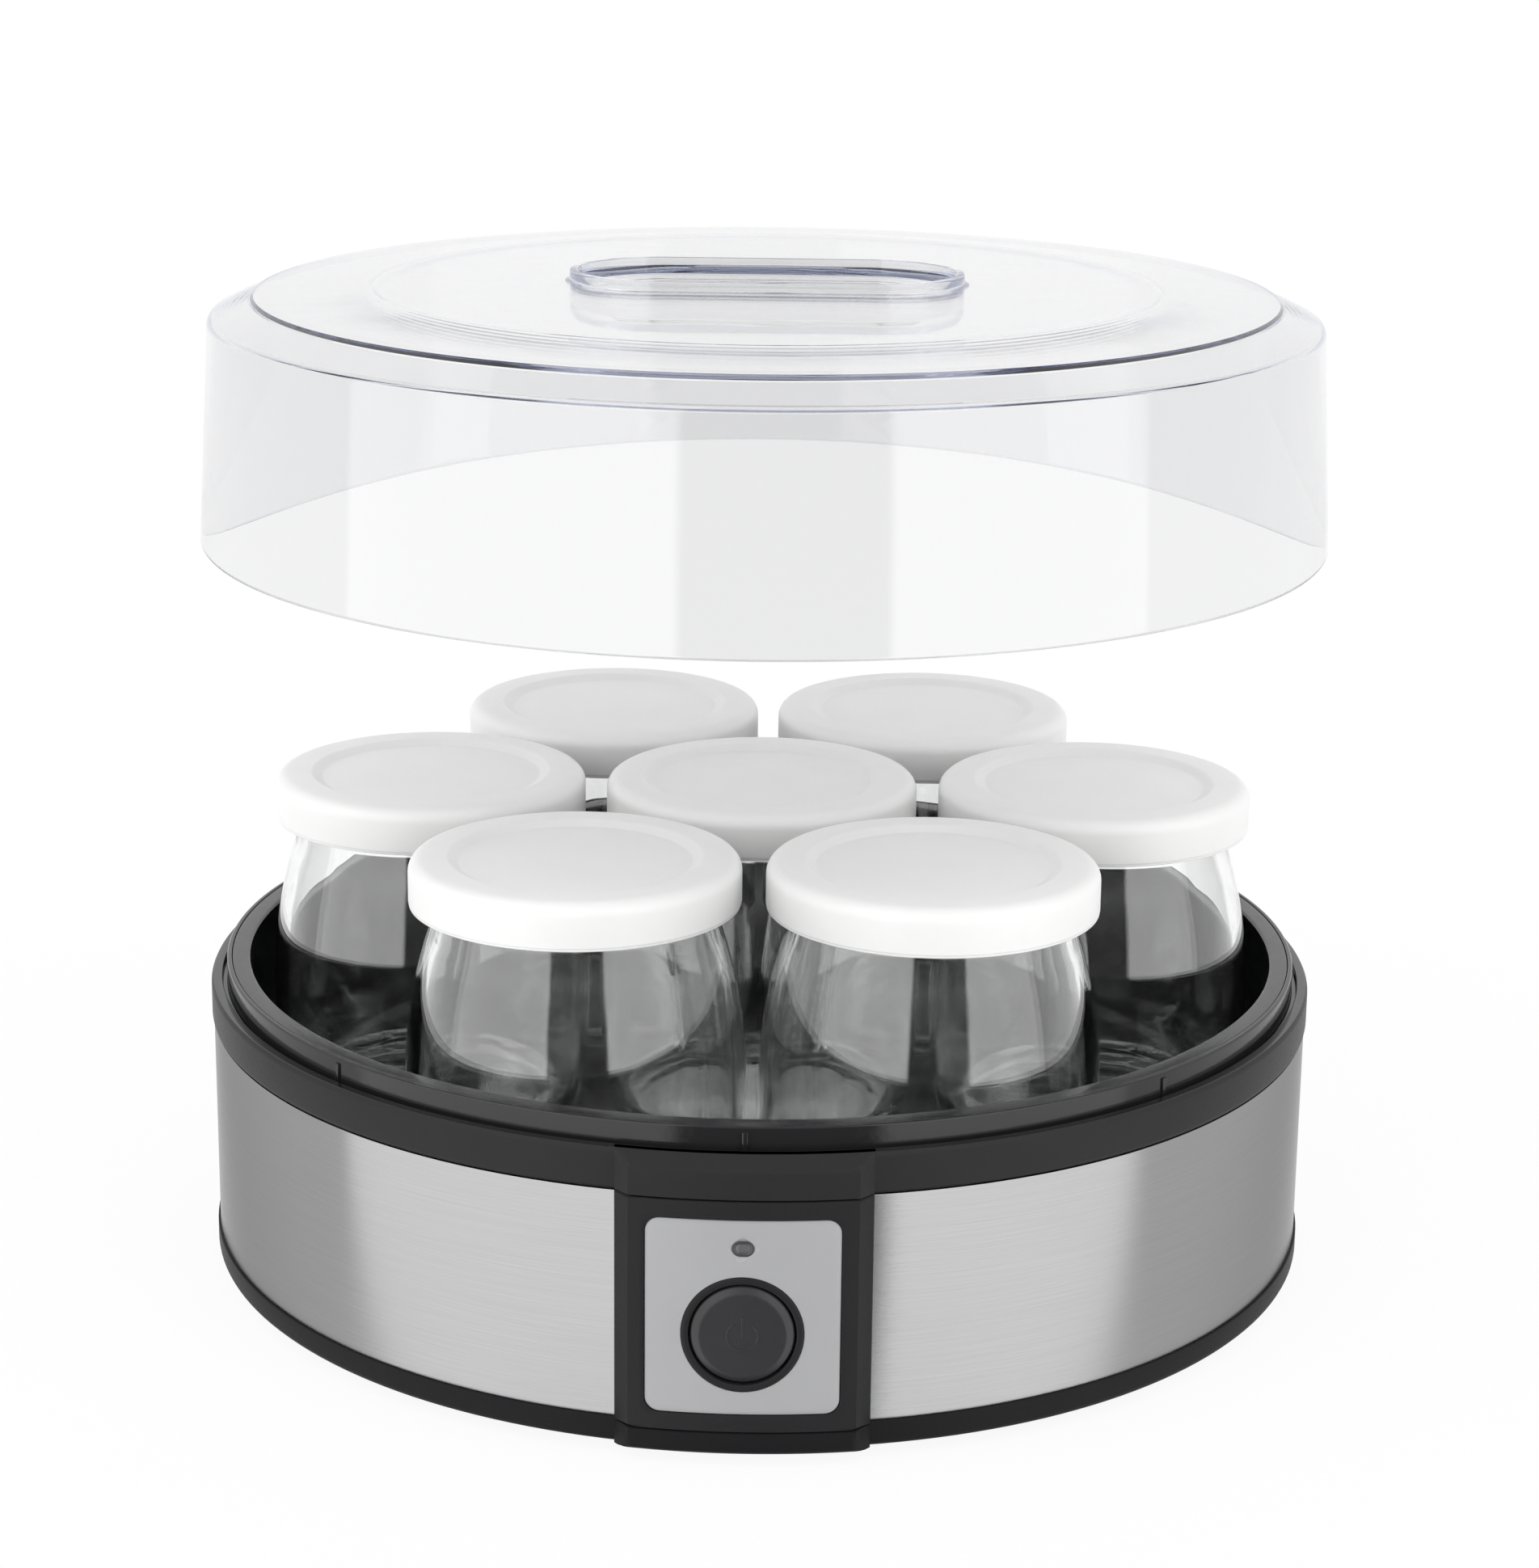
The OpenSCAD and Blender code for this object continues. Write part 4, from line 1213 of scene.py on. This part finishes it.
    def build_insert(self) -> None:
        """Silver plate, wrapped round the front, with a hole for the bezel."""
        front = self.plan.front - self.insert_dip
        hole = self.bezel.hi.x + 0.05
        bm = bmesh.new()
        skin = Skin(bm, self.disc_loop(0, hole, front - 1), capped=False)
        skin.grow(self.disc_loop(0, hole, front))
        for k in range(1, 9):
            skin.grow(self.disc_loop(k / 8, hole, front, 0.25))
        skin.grow(self.disc_loop(1, hole, front - 0.08, 0.06))
        skin.grow(self.disc_loop(1, hole, front - 0.25))
        skin.grow(self.disc_loop(1, hole, front - 1))
        skin.join()
        plate = finish_mesh(bm, "silver_plate", 30)
        cutter = bmesh.new()
        reach = self.plan.front
        skin = Skin(cutter, self.lens_loop(-0.05, reach + 1))
        skin.grow(self.lens_loop(-0.05, reach - 4))
        skin.cap()
        cut(plate, [finish_mesh(cutter, "cutter")])
        hand_over(plate, self.finishes.insert, "base", ["panel_insert"])

    def lens_loop(self, shrink: float, radius: float) -> list[Vector]:
        """Oval loop of the indicator window drawn in by shrink, wrapped on a radius."""
        flat = oval(self.lens_height / 2 - shrink, (self.lens_length - self.lens_height) / 2, 64)
        return [self.on_front(p, radius, self.lens.centre.z) for p in flat]

    def round_loop(self, radius: float, depth: float, wrap: bool) -> list[Vector]:
        """A circle about the button's axis.

        Args:
            radius: its radius.
            depth: how far in front of the middle axis it lies.
            wrap: whether it is wrapped on a front whose radius is that depth.

        Returns:
            Points of the loop.
        """
        z = self.bezel.centre.z
        loop = []
        for k in range(self.bezel_steps):
            a = TURN * k / self.bezel_steps
            x, up = radius * math.cos(a), radius * math.sin(a)
            y = -math.sqrt(depth**2 - x * x) if wrap else -depth
            loop.append(Vector((x, y, z + up)))
        return loop

    def build_bezel(self) -> None:
        """Dark ring round the button, flush with the frame."""
        outer, inner = self.bezel.hi.x, self.button_radius + self.bezel_gap
        front, back = self.plan.front - 0.05, -self.bezel.hi.y
        bm = bmesh.new()
        skin = Skin(bm, self.round_loop(inner, back, False), capped=False)
        for radius, depth in (
            (inner, front - 0.35), (inner + 0.08, front - 0.1), (inner + 0.3, front),
            (outer - 0.3, front), (outer - 0.08, front - 0.1), (outer, front - 0.35),
        ):
            skin.grow(self.round_loop(radius, depth, True))
        skin.grow(self.round_loop(outer, back, False))
        skin.join()
        made = finish_mesh(bm, "button_ring", 40)
        hand_over(made, self.finishes.panel, "base", ["button_bezel"])

    def build_button(self) -> None:
        """Round button with a soft edge, its flange and stem, and a raised power sign."""
        front, rim = -self.button.lo.y - self.sign_rise, self.button_radius
        flange, flange_r = self.plan.front - 3.3, self.button.hi.x
        inside, under, stem = rim - 1.5, front - 1.6, self.stem_radius
        stem_end = -self.button.hi.y
        bm = bmesh.new()
        profile = rounded([
            Corner(0, front), Corner(inside, front - 0.1, 1.2), Corner(rim, front - 1.1, 0.8),
            Corner(rim, flange), Corner(flange_r, flange, 0.15), Corner(flange_r, flange - 1, 0.15),
            Corner(inside, flange - 1), Corner(inside, under), Corner(stem, under),
            Corner(stem, stem_end, 0.3), Corner(0, stem_end),
        ], closed=False)
        spun(bm, profile, closed=False, steps=96)
        self.add_sign(bm, front)
        bmesh.ops.transform(bm, matrix=self.facing, verts=bm.verts)
        made = finish_mesh(bm, "push_button")
        hand_over(made, self.finishes.button, "button", ["power_button"])

    def build_spring(self) -> None:
        """Coil spring that stands on the switch behind the button."""
        strand = self.spring_strand
        seat, length = -self.spring.hi.y, self.spring.hi.y - self.spring.lo.y
        coil = self.spring.hi.x - strand
        section = rounded([
            Corner(coil + x * strand, seat + strand + z * strand, strand)
            for x, z in ((-1, -1), (1, -1), (1, 1), (-1, 1))
        ], closed=True, steps=3)
        bm = bmesh.new()
        turns = self.spring_turns
        spun(bm, section, True, 48 * turns, sweep=TURN * turns, rise=length - 2 * strand)
        bmesh.ops.transform(bm, matrix=self.facing, verts=bm.verts)
        made = finish_mesh(bm, "return_spring")
        hand_over(made, self.finishes.screw, "base", ["button_spring"])
        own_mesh(made)

    def add_sign(self, bm: bmesh.types.BMesh, front: float) -> None:
        """Adds the raised ring and bar of the power sign, before the button is stood up.

        Args:
            bm: mesh that receives them.
            front: level of the button's face.
        """
        rise, sink = self.sign_rise, self.sign_sink
        low, high, bend = front - sink, front + rise, self.sign_bend
        near, far = self.sign_radius - self.sign_line / 2, self.sign_radius + self.sign_line / 2
        section = rounded([
            Corner(near, low), Corner(far, low), Corner(far, high, bend), Corner(near, high, bend),
        ], closed=True, steps=2)
        half = math.radians(self.sign_opening / 2)
        spun(bm, section, True, 48, start=math.pi / 2 + half, sweep=TURN - 2 * half)
        place = Matrix.Translation((0, self.sign_bar_at, front + (rise - sink) / 2))
        block(bm, (self.sign_line, self.sign_bar, rise + sink), place, bend)

    def build_lens(self) -> None:
        """Oval window with a darker rim."""
        front = self.plan.front - self.insert_dip
        bm = bmesh.new()
        skin = Skin(bm, self.lens_loop(0, front - 1.4))
        for shrink, rise in ((0, 0.02), (0.1, 0.08), (0.5, 0.05), (0.62, -0.1), (0.68, -0.16)):
            skin.grow(self.lens_loop(shrink, front + rise))
        rim_faces = len(bm.faces)
        for shrink, rise in ((0.8, -0.1), (1.1, -0.04), (1.4, -0.02)):
            skin.grow(self.lens_loop(shrink, front + rise))
        skin.cap()
        made = finish_mesh(bm, "indicator_window", 60)
        hand_over(made, self.finishes.lens, "base", ["indicator_lens"])
        made.data.materials.append(self.finishes.lens_rim)
        for face in made.data.polygons[:rim_faces]:
            face.material_index = 1


# ---------------------------------------------------------------- lid

@dataclass(frozen=True)
class Station:
    """One ring of the lid's skin, in millimetres, at the plate's own height if none is given."""

    radius: float
    stretch: float = 0.0
    height: float | None = None
    drop: float = 0.0


@dataclass
class Lid:
    """Clear lid with a stepped top and a sunk oval grip."""

    finishes: Finishes
    span: Span = field(default_factory=lambda: Span.of("lid"))
    wall: float = 1.8
    rim_wall: float = 1.5
    rim_gap: float = 0.05
    lean: float = 2.6
    shoulder: float = 2.0
    grip_width: float = 40.0
    grip_length: float = 83.5
    grip_depth: float = 10.6
    grip_rim: float = 1.8
    grip_bend: float = 0.4
    grip_floor_start: float = 6.0
    crease_share: float = 0.692
    flat_radius: float = 22.0
    dome_drop: float = 1.2
    step_inset: float = 12.0
    step_drop: float = 2.6
    step_face: float = 0.35
    step_run: float = 0.3
    step_bend: float = 0.25
    shoulder_drop: float = 4.2
    foot_bend: float = 0.7
    oval_fade: float = 1.2
    rings: int = 8
    steps: int = 448

    @property
    def height(self) -> float:
        """Height of the lid over its rim."""
        return self.span.hi.z - self.span.lo.z

    @property
    def crown(self) -> float:
        """Height of the plate's flat middle."""
        return self.height - self.grip_rim

    @property
    def crease(self) -> float:
        """Radius of the fine line in the plate."""
        return self.span.radius * self.crease_share

    @property
    def step_radius(self) -> float:
        """Radius of the step round the plate."""
        return self.span.radius - self.step_inset

    @property
    def step_top(self) -> float:
        """Height of the step's upper edge."""
        return self.crown - self.step_drop

    @property
    def grip_half(self) -> float:
        """Half of the grip's width."""
        return self.grip_width / 2

    @property
    def grip_stretch(self) -> float:
        """How far the grip's round ends are moved apart, each way."""
        return (self.grip_length - self.grip_width) / 2

    def plate_height(self, rho: float) -> float:
        """Height of the top plate over the lid's rim.

        Args:
            rho: distance from the axis.

        Returns:
            The height in millimetres.
        """
        crown, crease = self.crown, self.crease
        if rho <= crease:
            share = max(0.0, rho - self.flat_radius) / (crease - self.flat_radius)
            return crown - self.dome_drop * share
        fall = self.step_top - crown + self.dome_drop
        return crown - self.dome_drop + fall * (rho - crease) / (self.step_radius - crease)

    def grip_rings(self) -> list[Station]:
        """Rings from the middle of the grip's floor up its wall and over its rim.

        Returns:
            The rings, from the inside out.
        """
        top, half, stretch, bend = self.height, self.grip_half, self.grip_stretch, self.grip_bend
        floor, inner = top - self.grip_depth, half - self.wall
        out = [Station(self.grip_floor_start, stretch, floor), Station(inner - 3, stretch, floor)]
        corners = arc((inner - 2.4, floor + 2.4), 2.4, -75, 0, 5)
        corners += arc((inner + bend, top - bend), bend, 180, 90, 4)
        corners += arc((half - bend, top - bend), bend, 90, 0, 4)
        out += [Station(c.r, stretch, c.z) for c in corners]
        out += [Station(half + out_by, stretch, drop=drop)
                for out_by, drop in ((0.05, -0.3), (0.35, -0.05), (0.8, 0.0))]
        return out

    def plate_rings(self) -> list[Station]:
        """Rings over the plate, from the grip past the fine line towards the step.

        Returns:
            The rings, from the inside out.
        """
        start, crease = self.grip_half + 1.2, self.crease
        out = []
        for k in range(self.rings + 1):
            share = k / self.rings
            radius = start + (crease - 1.2 - self.grip_half - 1.2) * share
            out.append(Station(radius, self.grip_stretch * (1 - share) ** self.oval_fade))
        for reach, drop in ((-0.7, 0), (-0.3, 0.05), (0.3, 0.05), (0.7, 0), (1.2, 0)):
            out.append(Station(crease + reach, drop=drop))
        out.append(Station((crease + self.step_radius) / 2))
        return out

    def wall_rings(self) -> list[Station]:
        """Rings down the step, shoulder and wall, round the rim and up inside.

        Returns:
            The rings, from the step round to its underside.
        """
        edge, wall, step = self.span.radius, self.wall, self.step_radius
        run, bend = self.step_run, self.step_bend
        foot = self.step_top - self.step_face
        shoulder_r, shoulder_z = edge - self.lean - 0.1, foot - self.shoulder_drop
        start, start_z = step - 4, self.plate_height(step - 4)
        ring = rounded([
            Corner(start, start_z), Corner(step - run, self.step_top, bend), Corner(step, foot, bend),
            Corner(shoulder_r, shoulder_z, self.shoulder), Corner(edge, self.rim_gap, self.foot_bend),
            Corner(edge - self.rim_wall, self.rim_gap, self.foot_bend),
            Corner(shoulder_r - wall, shoulder_z - wall * 0.66, self.shoulder - wall),
            Corner(step, foot - wall, bend), Corner(step - run, self.step_top - wall, bend),
            Corner(start, start_z - wall),
        ], closed=False, steps=7)
        return [Station(p.x, 0.0, p.y) for p in ring]

    def under_rings(self) -> list[Station]:
        """Rings under the plate, down the outside of the grip's well and under its floor.

        Returns:
            The rings, from the outside in.
        """
        wall, half, stretch = self.wall, self.grip_half, self.grip_stretch
        under = self.height - self.grip_depth - wall
        out = [Station(self.crease, drop=wall)]
        for k in range(self.rings - 1, -1, -1):
            share = k / self.rings
            radius = half + 1.0 + (self.crease - half - 1.0) * share
            out.append(Station(radius, stretch * (1 - share) ** self.oval_fade, drop=wall))
        out += [Station(half + 0.6, stretch, drop=wall), Station(half + 0.1, stretch, drop=wall + 0.5)]
        out += [Station(c.r, stretch, c.z) for c in arc((half - 3, under + 3), 3, 0, -90, 6)]
        out.append(Station(self.grip_floor_start, stretch, under))
        return out

    def build(self) -> None:
        """Builds and dresses the lid."""
        low = self.span.lo.z
        bm = bmesh.new()
        skin: Skin | None = None
        for ring in self.grip_rings() + self.plate_rings() + self.wall_rings() + self.under_rings():
            loop = []
            for p in oval(ring.radius, ring.stretch, self.steps):
                z = self.plate_height(p.length) if ring.height is None else ring.height
                loop.append(Vector((p.x, p.y, low + z - ring.drop)))
            if skin is None:
                skin = Skin(bm, loop)
            else:
                skin.grow(loop)
        skin.cap()
        hand_over(finish_mesh(bm, "clear_cover", 50), self.finishes.lid, "lid", ["lid"])


# ---------------------------------------------------------------- jars

@dataclass
class Jar:
    """One glass jar with its white cap."""

    finishes: Finishes
    number: int
    wall: float = 2.8
    base: float = 5.0
    belly_height: float = 32.0
    flank: float = 160.0
    shoulder: float = 104.0
    foot_round: float = 9.0
    bead_radius: float = 32.2
    bead_height: float = 7.4
    neck_inset: float = 3.2
    mouth_inset: float = 4.2
    cap_round: float = 3.0
    cap_top: float = 1.8
    cap_gap: float = 0.3
    plug_inset: float = 5.8
    disc_radius: float = 23.8
    disc_dip: float = 1.2
    steps: int = 128

    def build(self) -> None:
        """Builds and dresses the jar and its cap."""
        glass, cap = Span.of(f"jar_{self.number}"), Span.of(f"jar_cap_{self.number}")
        self.build_glass(glass)
        self.build_cap(cap)

    def build_glass(self, span: Span) -> None:
        """The pressed glass jar.

        Args:
            span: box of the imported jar.
        """
        belly, low, top = (span.hi.x - span.lo.x) / 2, span.lo.z, span.hi.z - span.lo.z
        flank, shoulder, middle_z = self.flank, self.shoulder, self.belly_height
        foot_x = belly - (middle_z - self.foot_round) ** 2 / (2 * flank)
        bead, bead_z = self.bead_radius, top - self.bead_height
        neck, mouth = bead - self.neck_inset, bead - self.mouth_inset
        turn = math.degrees(math.asin((bead_z - middle_z - 6.5) / shoulder))
        lean = math.degrees(math.asin((middle_z - self.foot_round) / flank))
        corners = [Corner(0, 1.2), Corner(foot_x - 12, 1.2, 3), Corner(foot_x - 9.5, 0, 1)]
        corners += arc((foot_x - self.foot_round, self.foot_round), self.foot_round, -78, -8, 9)
        corners += arc((belly - flank, middle_z), flank, -lean + 1, 0, 6)
        corners += arc((belly - shoulder, middle_z), shoulder, 1, turn, 14)
        corners += [
            Corner(neck, bead_z - 2.2, 3), Corner(neck + 0.3, bead_z - 0.8, 0.8),
            Corner(bead, bead_z + 0.4, 1.1), Corner(bead, top, 1.4), Corner(mouth, top, 1.2),
            Corner(neck - self.wall, bead_z - 1.5, 4),
        ]
        corners += arc((belly - shoulder, middle_z), shoulder - self.wall, turn, 1, 14)
        corners += arc((belly - flank, middle_z), flank - self.wall, 0, -lean + 2, 6)
        corners += [Corner(foot_x - self.wall - 0.6, self.base, 8), Corner(0, self.base - 0.3)]
        points = [Vector((p.x, p.y + low)) for p in rounded(corners, closed=False, steps=6)]
        bm = bmesh.new()
        spun(bm, points, False, self.steps, span.centre.xy)
        made = finish_mesh(bm, f"glass_jar_{self.number}", 60)
        node = f"jar_{self.number}"
        hand_over(made, self.finishes.glass, node, [node])

    def build_cap(self, span: Span) -> None:
        """The white press-on cap.

        Args:
            span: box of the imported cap.
        """
        edge, low, top = (span.hi.x - span.lo.x) / 2, span.lo.z, span.hi.z
        inner, plug = self.bead_radius + self.cap_gap, self.bead_radius - self.plug_inset
        ceiling, disc_z = top - self.cap_top, top - self.disc_dip
        profile = rounded([
            Corner(0, disc_z), Corner(self.disc_radius, disc_z, 1.6),
            Corner(self.disc_radius + 2.2, top, 1.4), Corner(edge, top, self.cap_round),
            Corner(edge, low + 0.75, 0.3), Corner(edge - 0.12, low + 0.45, 0.2),
            Corner(edge - 0.1, low, 0.25), Corner(inner, low, 0.25), Corner(inner, ceiling, 0.3),
            Corner(plug + 0.8, ceiling), Corner(plug, ceiling - 0.6, 0.3), Corner(0, ceiling - 0.6),
        ], closed=False, steps=7)
        bm = bmesh.new()
        spun(bm, profile, False, self.steps, span.centre.xy)
        made = finish_mesh(bm, f"white_cap_{self.number}", 60)
        node = f"jar_cap_{self.number}"
        hand_over(made, self.finishes.cap, node, [node])


# ---------------------------------------------------------------- hidden pieces

@dataclass
class Internals:
    """The pieces inside the base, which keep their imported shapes."""

    finishes: Finishes

    def build(self) -> None:
        """Gives each hidden node its finish."""
        f = self.finishes
        finish_of = {
            "shell_screws": f.screw, "shield_screws": f.screw, "board_screws": f.screw,
            "heat_spreader": f.aluminium, "heater_wire": f.silicone, "insulation_pad": f.felt,
            "heat_shield": f.sheet, "thermostat": f.brown, "thermal_fuse": f.nylon,
            "terminal_block": f.nylon, "wiring": f.wire, "control_board": f.laminate,
            "switch_body": f.grey_nylon, "led": f.epoxy,
        }
        for node, material in finish_of.items():
            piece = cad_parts[node]
            piece.data.materials.clear()
            piece.data.materials.append(material)
            LOG.info("%s: keeps its packed shape", node)


# ---------------------------------------------------------------- studio

@dataclass
class Studio:
    """Pale floor, soft studio light and the camera."""

    OPEN: ClassVar[float] = 2.0
    eye: tuple[float, float, float] = (16.749, -779.274, 323.130)
    lens: float = 84.62
    heading: float = 1.107
    pitch: float = 15.719
    roll: float = 0.640
    sensor: float = 36.0
    bounces: int = 64
    floor_radius: float = 6.0
    floor_drop: float = 0.0002
    floor_paint: float = 0.86
    floor_glow: float = 0.92
    left_box: tuple[float, float] = (-89.0, -15.5)
    right_box: tuple[float, float] = (26.0, 82.5)
    flank: tuple[float, float] = (115.0, 160.0)
    box_soft: float = 1.5
    flank_soft: float = 20.0
    box_light: float = 1.68
    gap_light: float = 0.12
    rear_light: float = 0.62
    rear_lift: float = 0.1
    top_light: float = 0.52

    def build(self) -> None:
        """Builds floor, world and camera."""
        scene = bpy.context.scene
        scene.view_settings.view_transform = "Standard"
        self.build_floor()
        self.build_world(scene)
        self.build_camera(scene)
        scene.cycles.transmission_bounces = self.bounces
        scene.cycles.glossy_bounces = self.bounces
        scene.cycles.max_bounces = self.bounces

    def build_floor(self) -> None:
        """Round floor that renders white and keeps a soft shadow."""
        bm = bmesh.new()
        drop = Matrix.Translation((0, 0, -self.floor_drop))
        bmesh.ops.create_circle(bm, cap_ends=True, segments=96, radius=self.floor_radius, matrix=drop)
        mesh = bpy.data.meshes.new("floor")
        bm.to_mesh(mesh)
        bm.free()
        floor = bpy.data.objects.new("floor", mesh)
        bpy.context.scene.collection.objects.link(floor)
        s = Shader("floor_white")
        path = s.node("ShaderNodeLightPath")
        grey = self.floor_paint
        paint = s.node("ShaderNodeBsdfDiffuse", Color=(grey, grey, grey, 1))
        white = s.node("ShaderNodeEmission", Color=(1, 1, 1, 1), Strength=1.0)
        seen = s.maths("MAXIMUM", path.outputs["Is Camera Ray"], path.outputs["Is Transmission Ray"])
        direct = s.maths("LESS_THAN", path.outputs["Diffuse Depth"], 0.5)
        share = s.maths("MULTIPLY", s.maths("MULTIPLY", seen, direct), self.floor_glow)
        lit = s.mixed(share, paint.outputs[0], white.outputs[0])
        clear = s.node("ShaderNodeBsdfTransparent")
        mirrored = s.maths("GREATER_THAN", path.outputs["Glossy Depth"], 0.5)
        lit = s.mixed(mirrored, lit, clear.outputs[0])
        s.tree.links.new(lit, s.output.inputs["Surface"])
        mesh.materials.append(s.material)

    def build_world(self, scene: bpy.types.Scene) -> None:
        """White surroundings for the eye, two tall soft boxes for the light.

        Args:
            scene: scene that receives the world.
        """
        world = bpy.data.worlds.new("studio")
        world.use_nodes = True
        scene.world = world
        g = NodeGraph(world.node_tree)
        coord = g.node("ShaderNodeTexCoord")
        parts = g.node("ShaderNodeSeparateXYZ", Vector=coord.outputs["Generated"])
        x, y, z = (parts.outputs[k] for k in range(3))
        azimuth = g.maths("ARCTAN2", x, g.maths("MULTIPLY", y, -1))

        def sector(low: float, high: float, soft: float) -> Socket:
            """1 between two headings in degrees, with soft edges."""
            return g.window(azimuth, math.radians(low), math.radians(high), math.radians(soft))

        sides = g.maths("ADD", sector(*self.left_box, self.box_soft), sector(*self.right_box, self.box_soft))
        front = sector(self.left_box[0], self.right_box[1], self.box_soft)
        boxes = g.maths("MULTIPLY", sides, g.window(z, -0.85, 0.88, 0.03))
        rear = g.maths("MULTIPLY", g.maths("SUBTRACT", 1, front), g.window(z, -self.OPEN, 0.7, 0.15))
        lift = g.maths("MULTIPLY", rear, g.window(z, 0.05, self.OPEN, 0.15))
        flank = g.maths("MULTIPLY", rear, sector(*self.flank, self.flank_soft))
        level = g.maths("ADD", g.maths("MULTIPLY", boxes, self.box_light), self.gap_light)
        for part, light in (
            (rear, self.rear_light), (g.maths("ADD", lift, flank), self.rear_lift),
            (g.window(z, 0.3, self.OPEN, 0.25), self.top_light),
        ):
            level = g.maths("ADD", level, g.maths("MULTIPLY", part, light))
        path = g.node("ShaderNodeLightPath")
        ray, depth = path.outputs, path.outputs["Diffuse Depth"]
        straight = g.maths("LESS_THAN", g.maths("ADD", depth, ray["Glossy Depth"]), 0.5)
        through = g.maths("MAXIMUM", ray["Is Camera Ray"], ray["Is Transmission Ray"])
        shiny = g.maths("MAXIMUM", ray["Is Glossy Ray"], ray["Is Transmission Ray"])
        mirrored = g.maths("MULTIPLY", shiny, g.maths("LESS_THAN", depth, 0.5))
        seen = g.maths("MAXIMUM", g.maths("MULTIPLY", through, straight), g.maths("MULTIPLY", mirrored, rear))
        lit, white = (
            g.node("ShaderNodeBackground", Color=(1, 1, 1, 1), Strength=strength).outputs[0]
            for strength in (level, 1.0)
        )
        g.node("ShaderNodeOutputWorld", Surface=g.mixed(seen, lit, white))

    def build_camera(self, scene: bpy.types.Scene) -> None:
        """Camera that looks down on the object from the front.

        Args:
            scene: scene that receives the camera.
        """
        data = bpy.data.cameras.new("camera")
        data.lens = self.lens
        data.sensor_width = self.sensor
        camera = bpy.data.objects.new("camera", data)
        turn = Matrix.Rotation(math.radians(self.heading), 4, "Z")
        tilt = Matrix.Rotation(math.radians(90 - self.pitch), 4, "X")
        lean = Matrix.Rotation(math.radians(self.roll), 4, "Z")
        camera.matrix_world = Matrix.Translation(Vector(self.eye) * MM) @ turn @ tilt @ lean
        scene.collection.objects.link(camera)
        scene.camera = camera


# ---------------------------------------------------------------- assembly


def main() -> None:
    """Builds every sub-assembly in order."""
    logging.basicConfig(level=logging.INFO, format="%(name)s: %(message)s")
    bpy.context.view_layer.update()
    finishes = Finishes()
    Studio().build()
    casing = Casing(finishes)
    casing.build()
    ControlPanel(finishes, casing.plan).build()
    Lid(finishes).build()
    for number in range(1, 8):
        Jar(finishes, number).build()
    Internals(finishes).build()


if __name__ == "__main__":
    main()
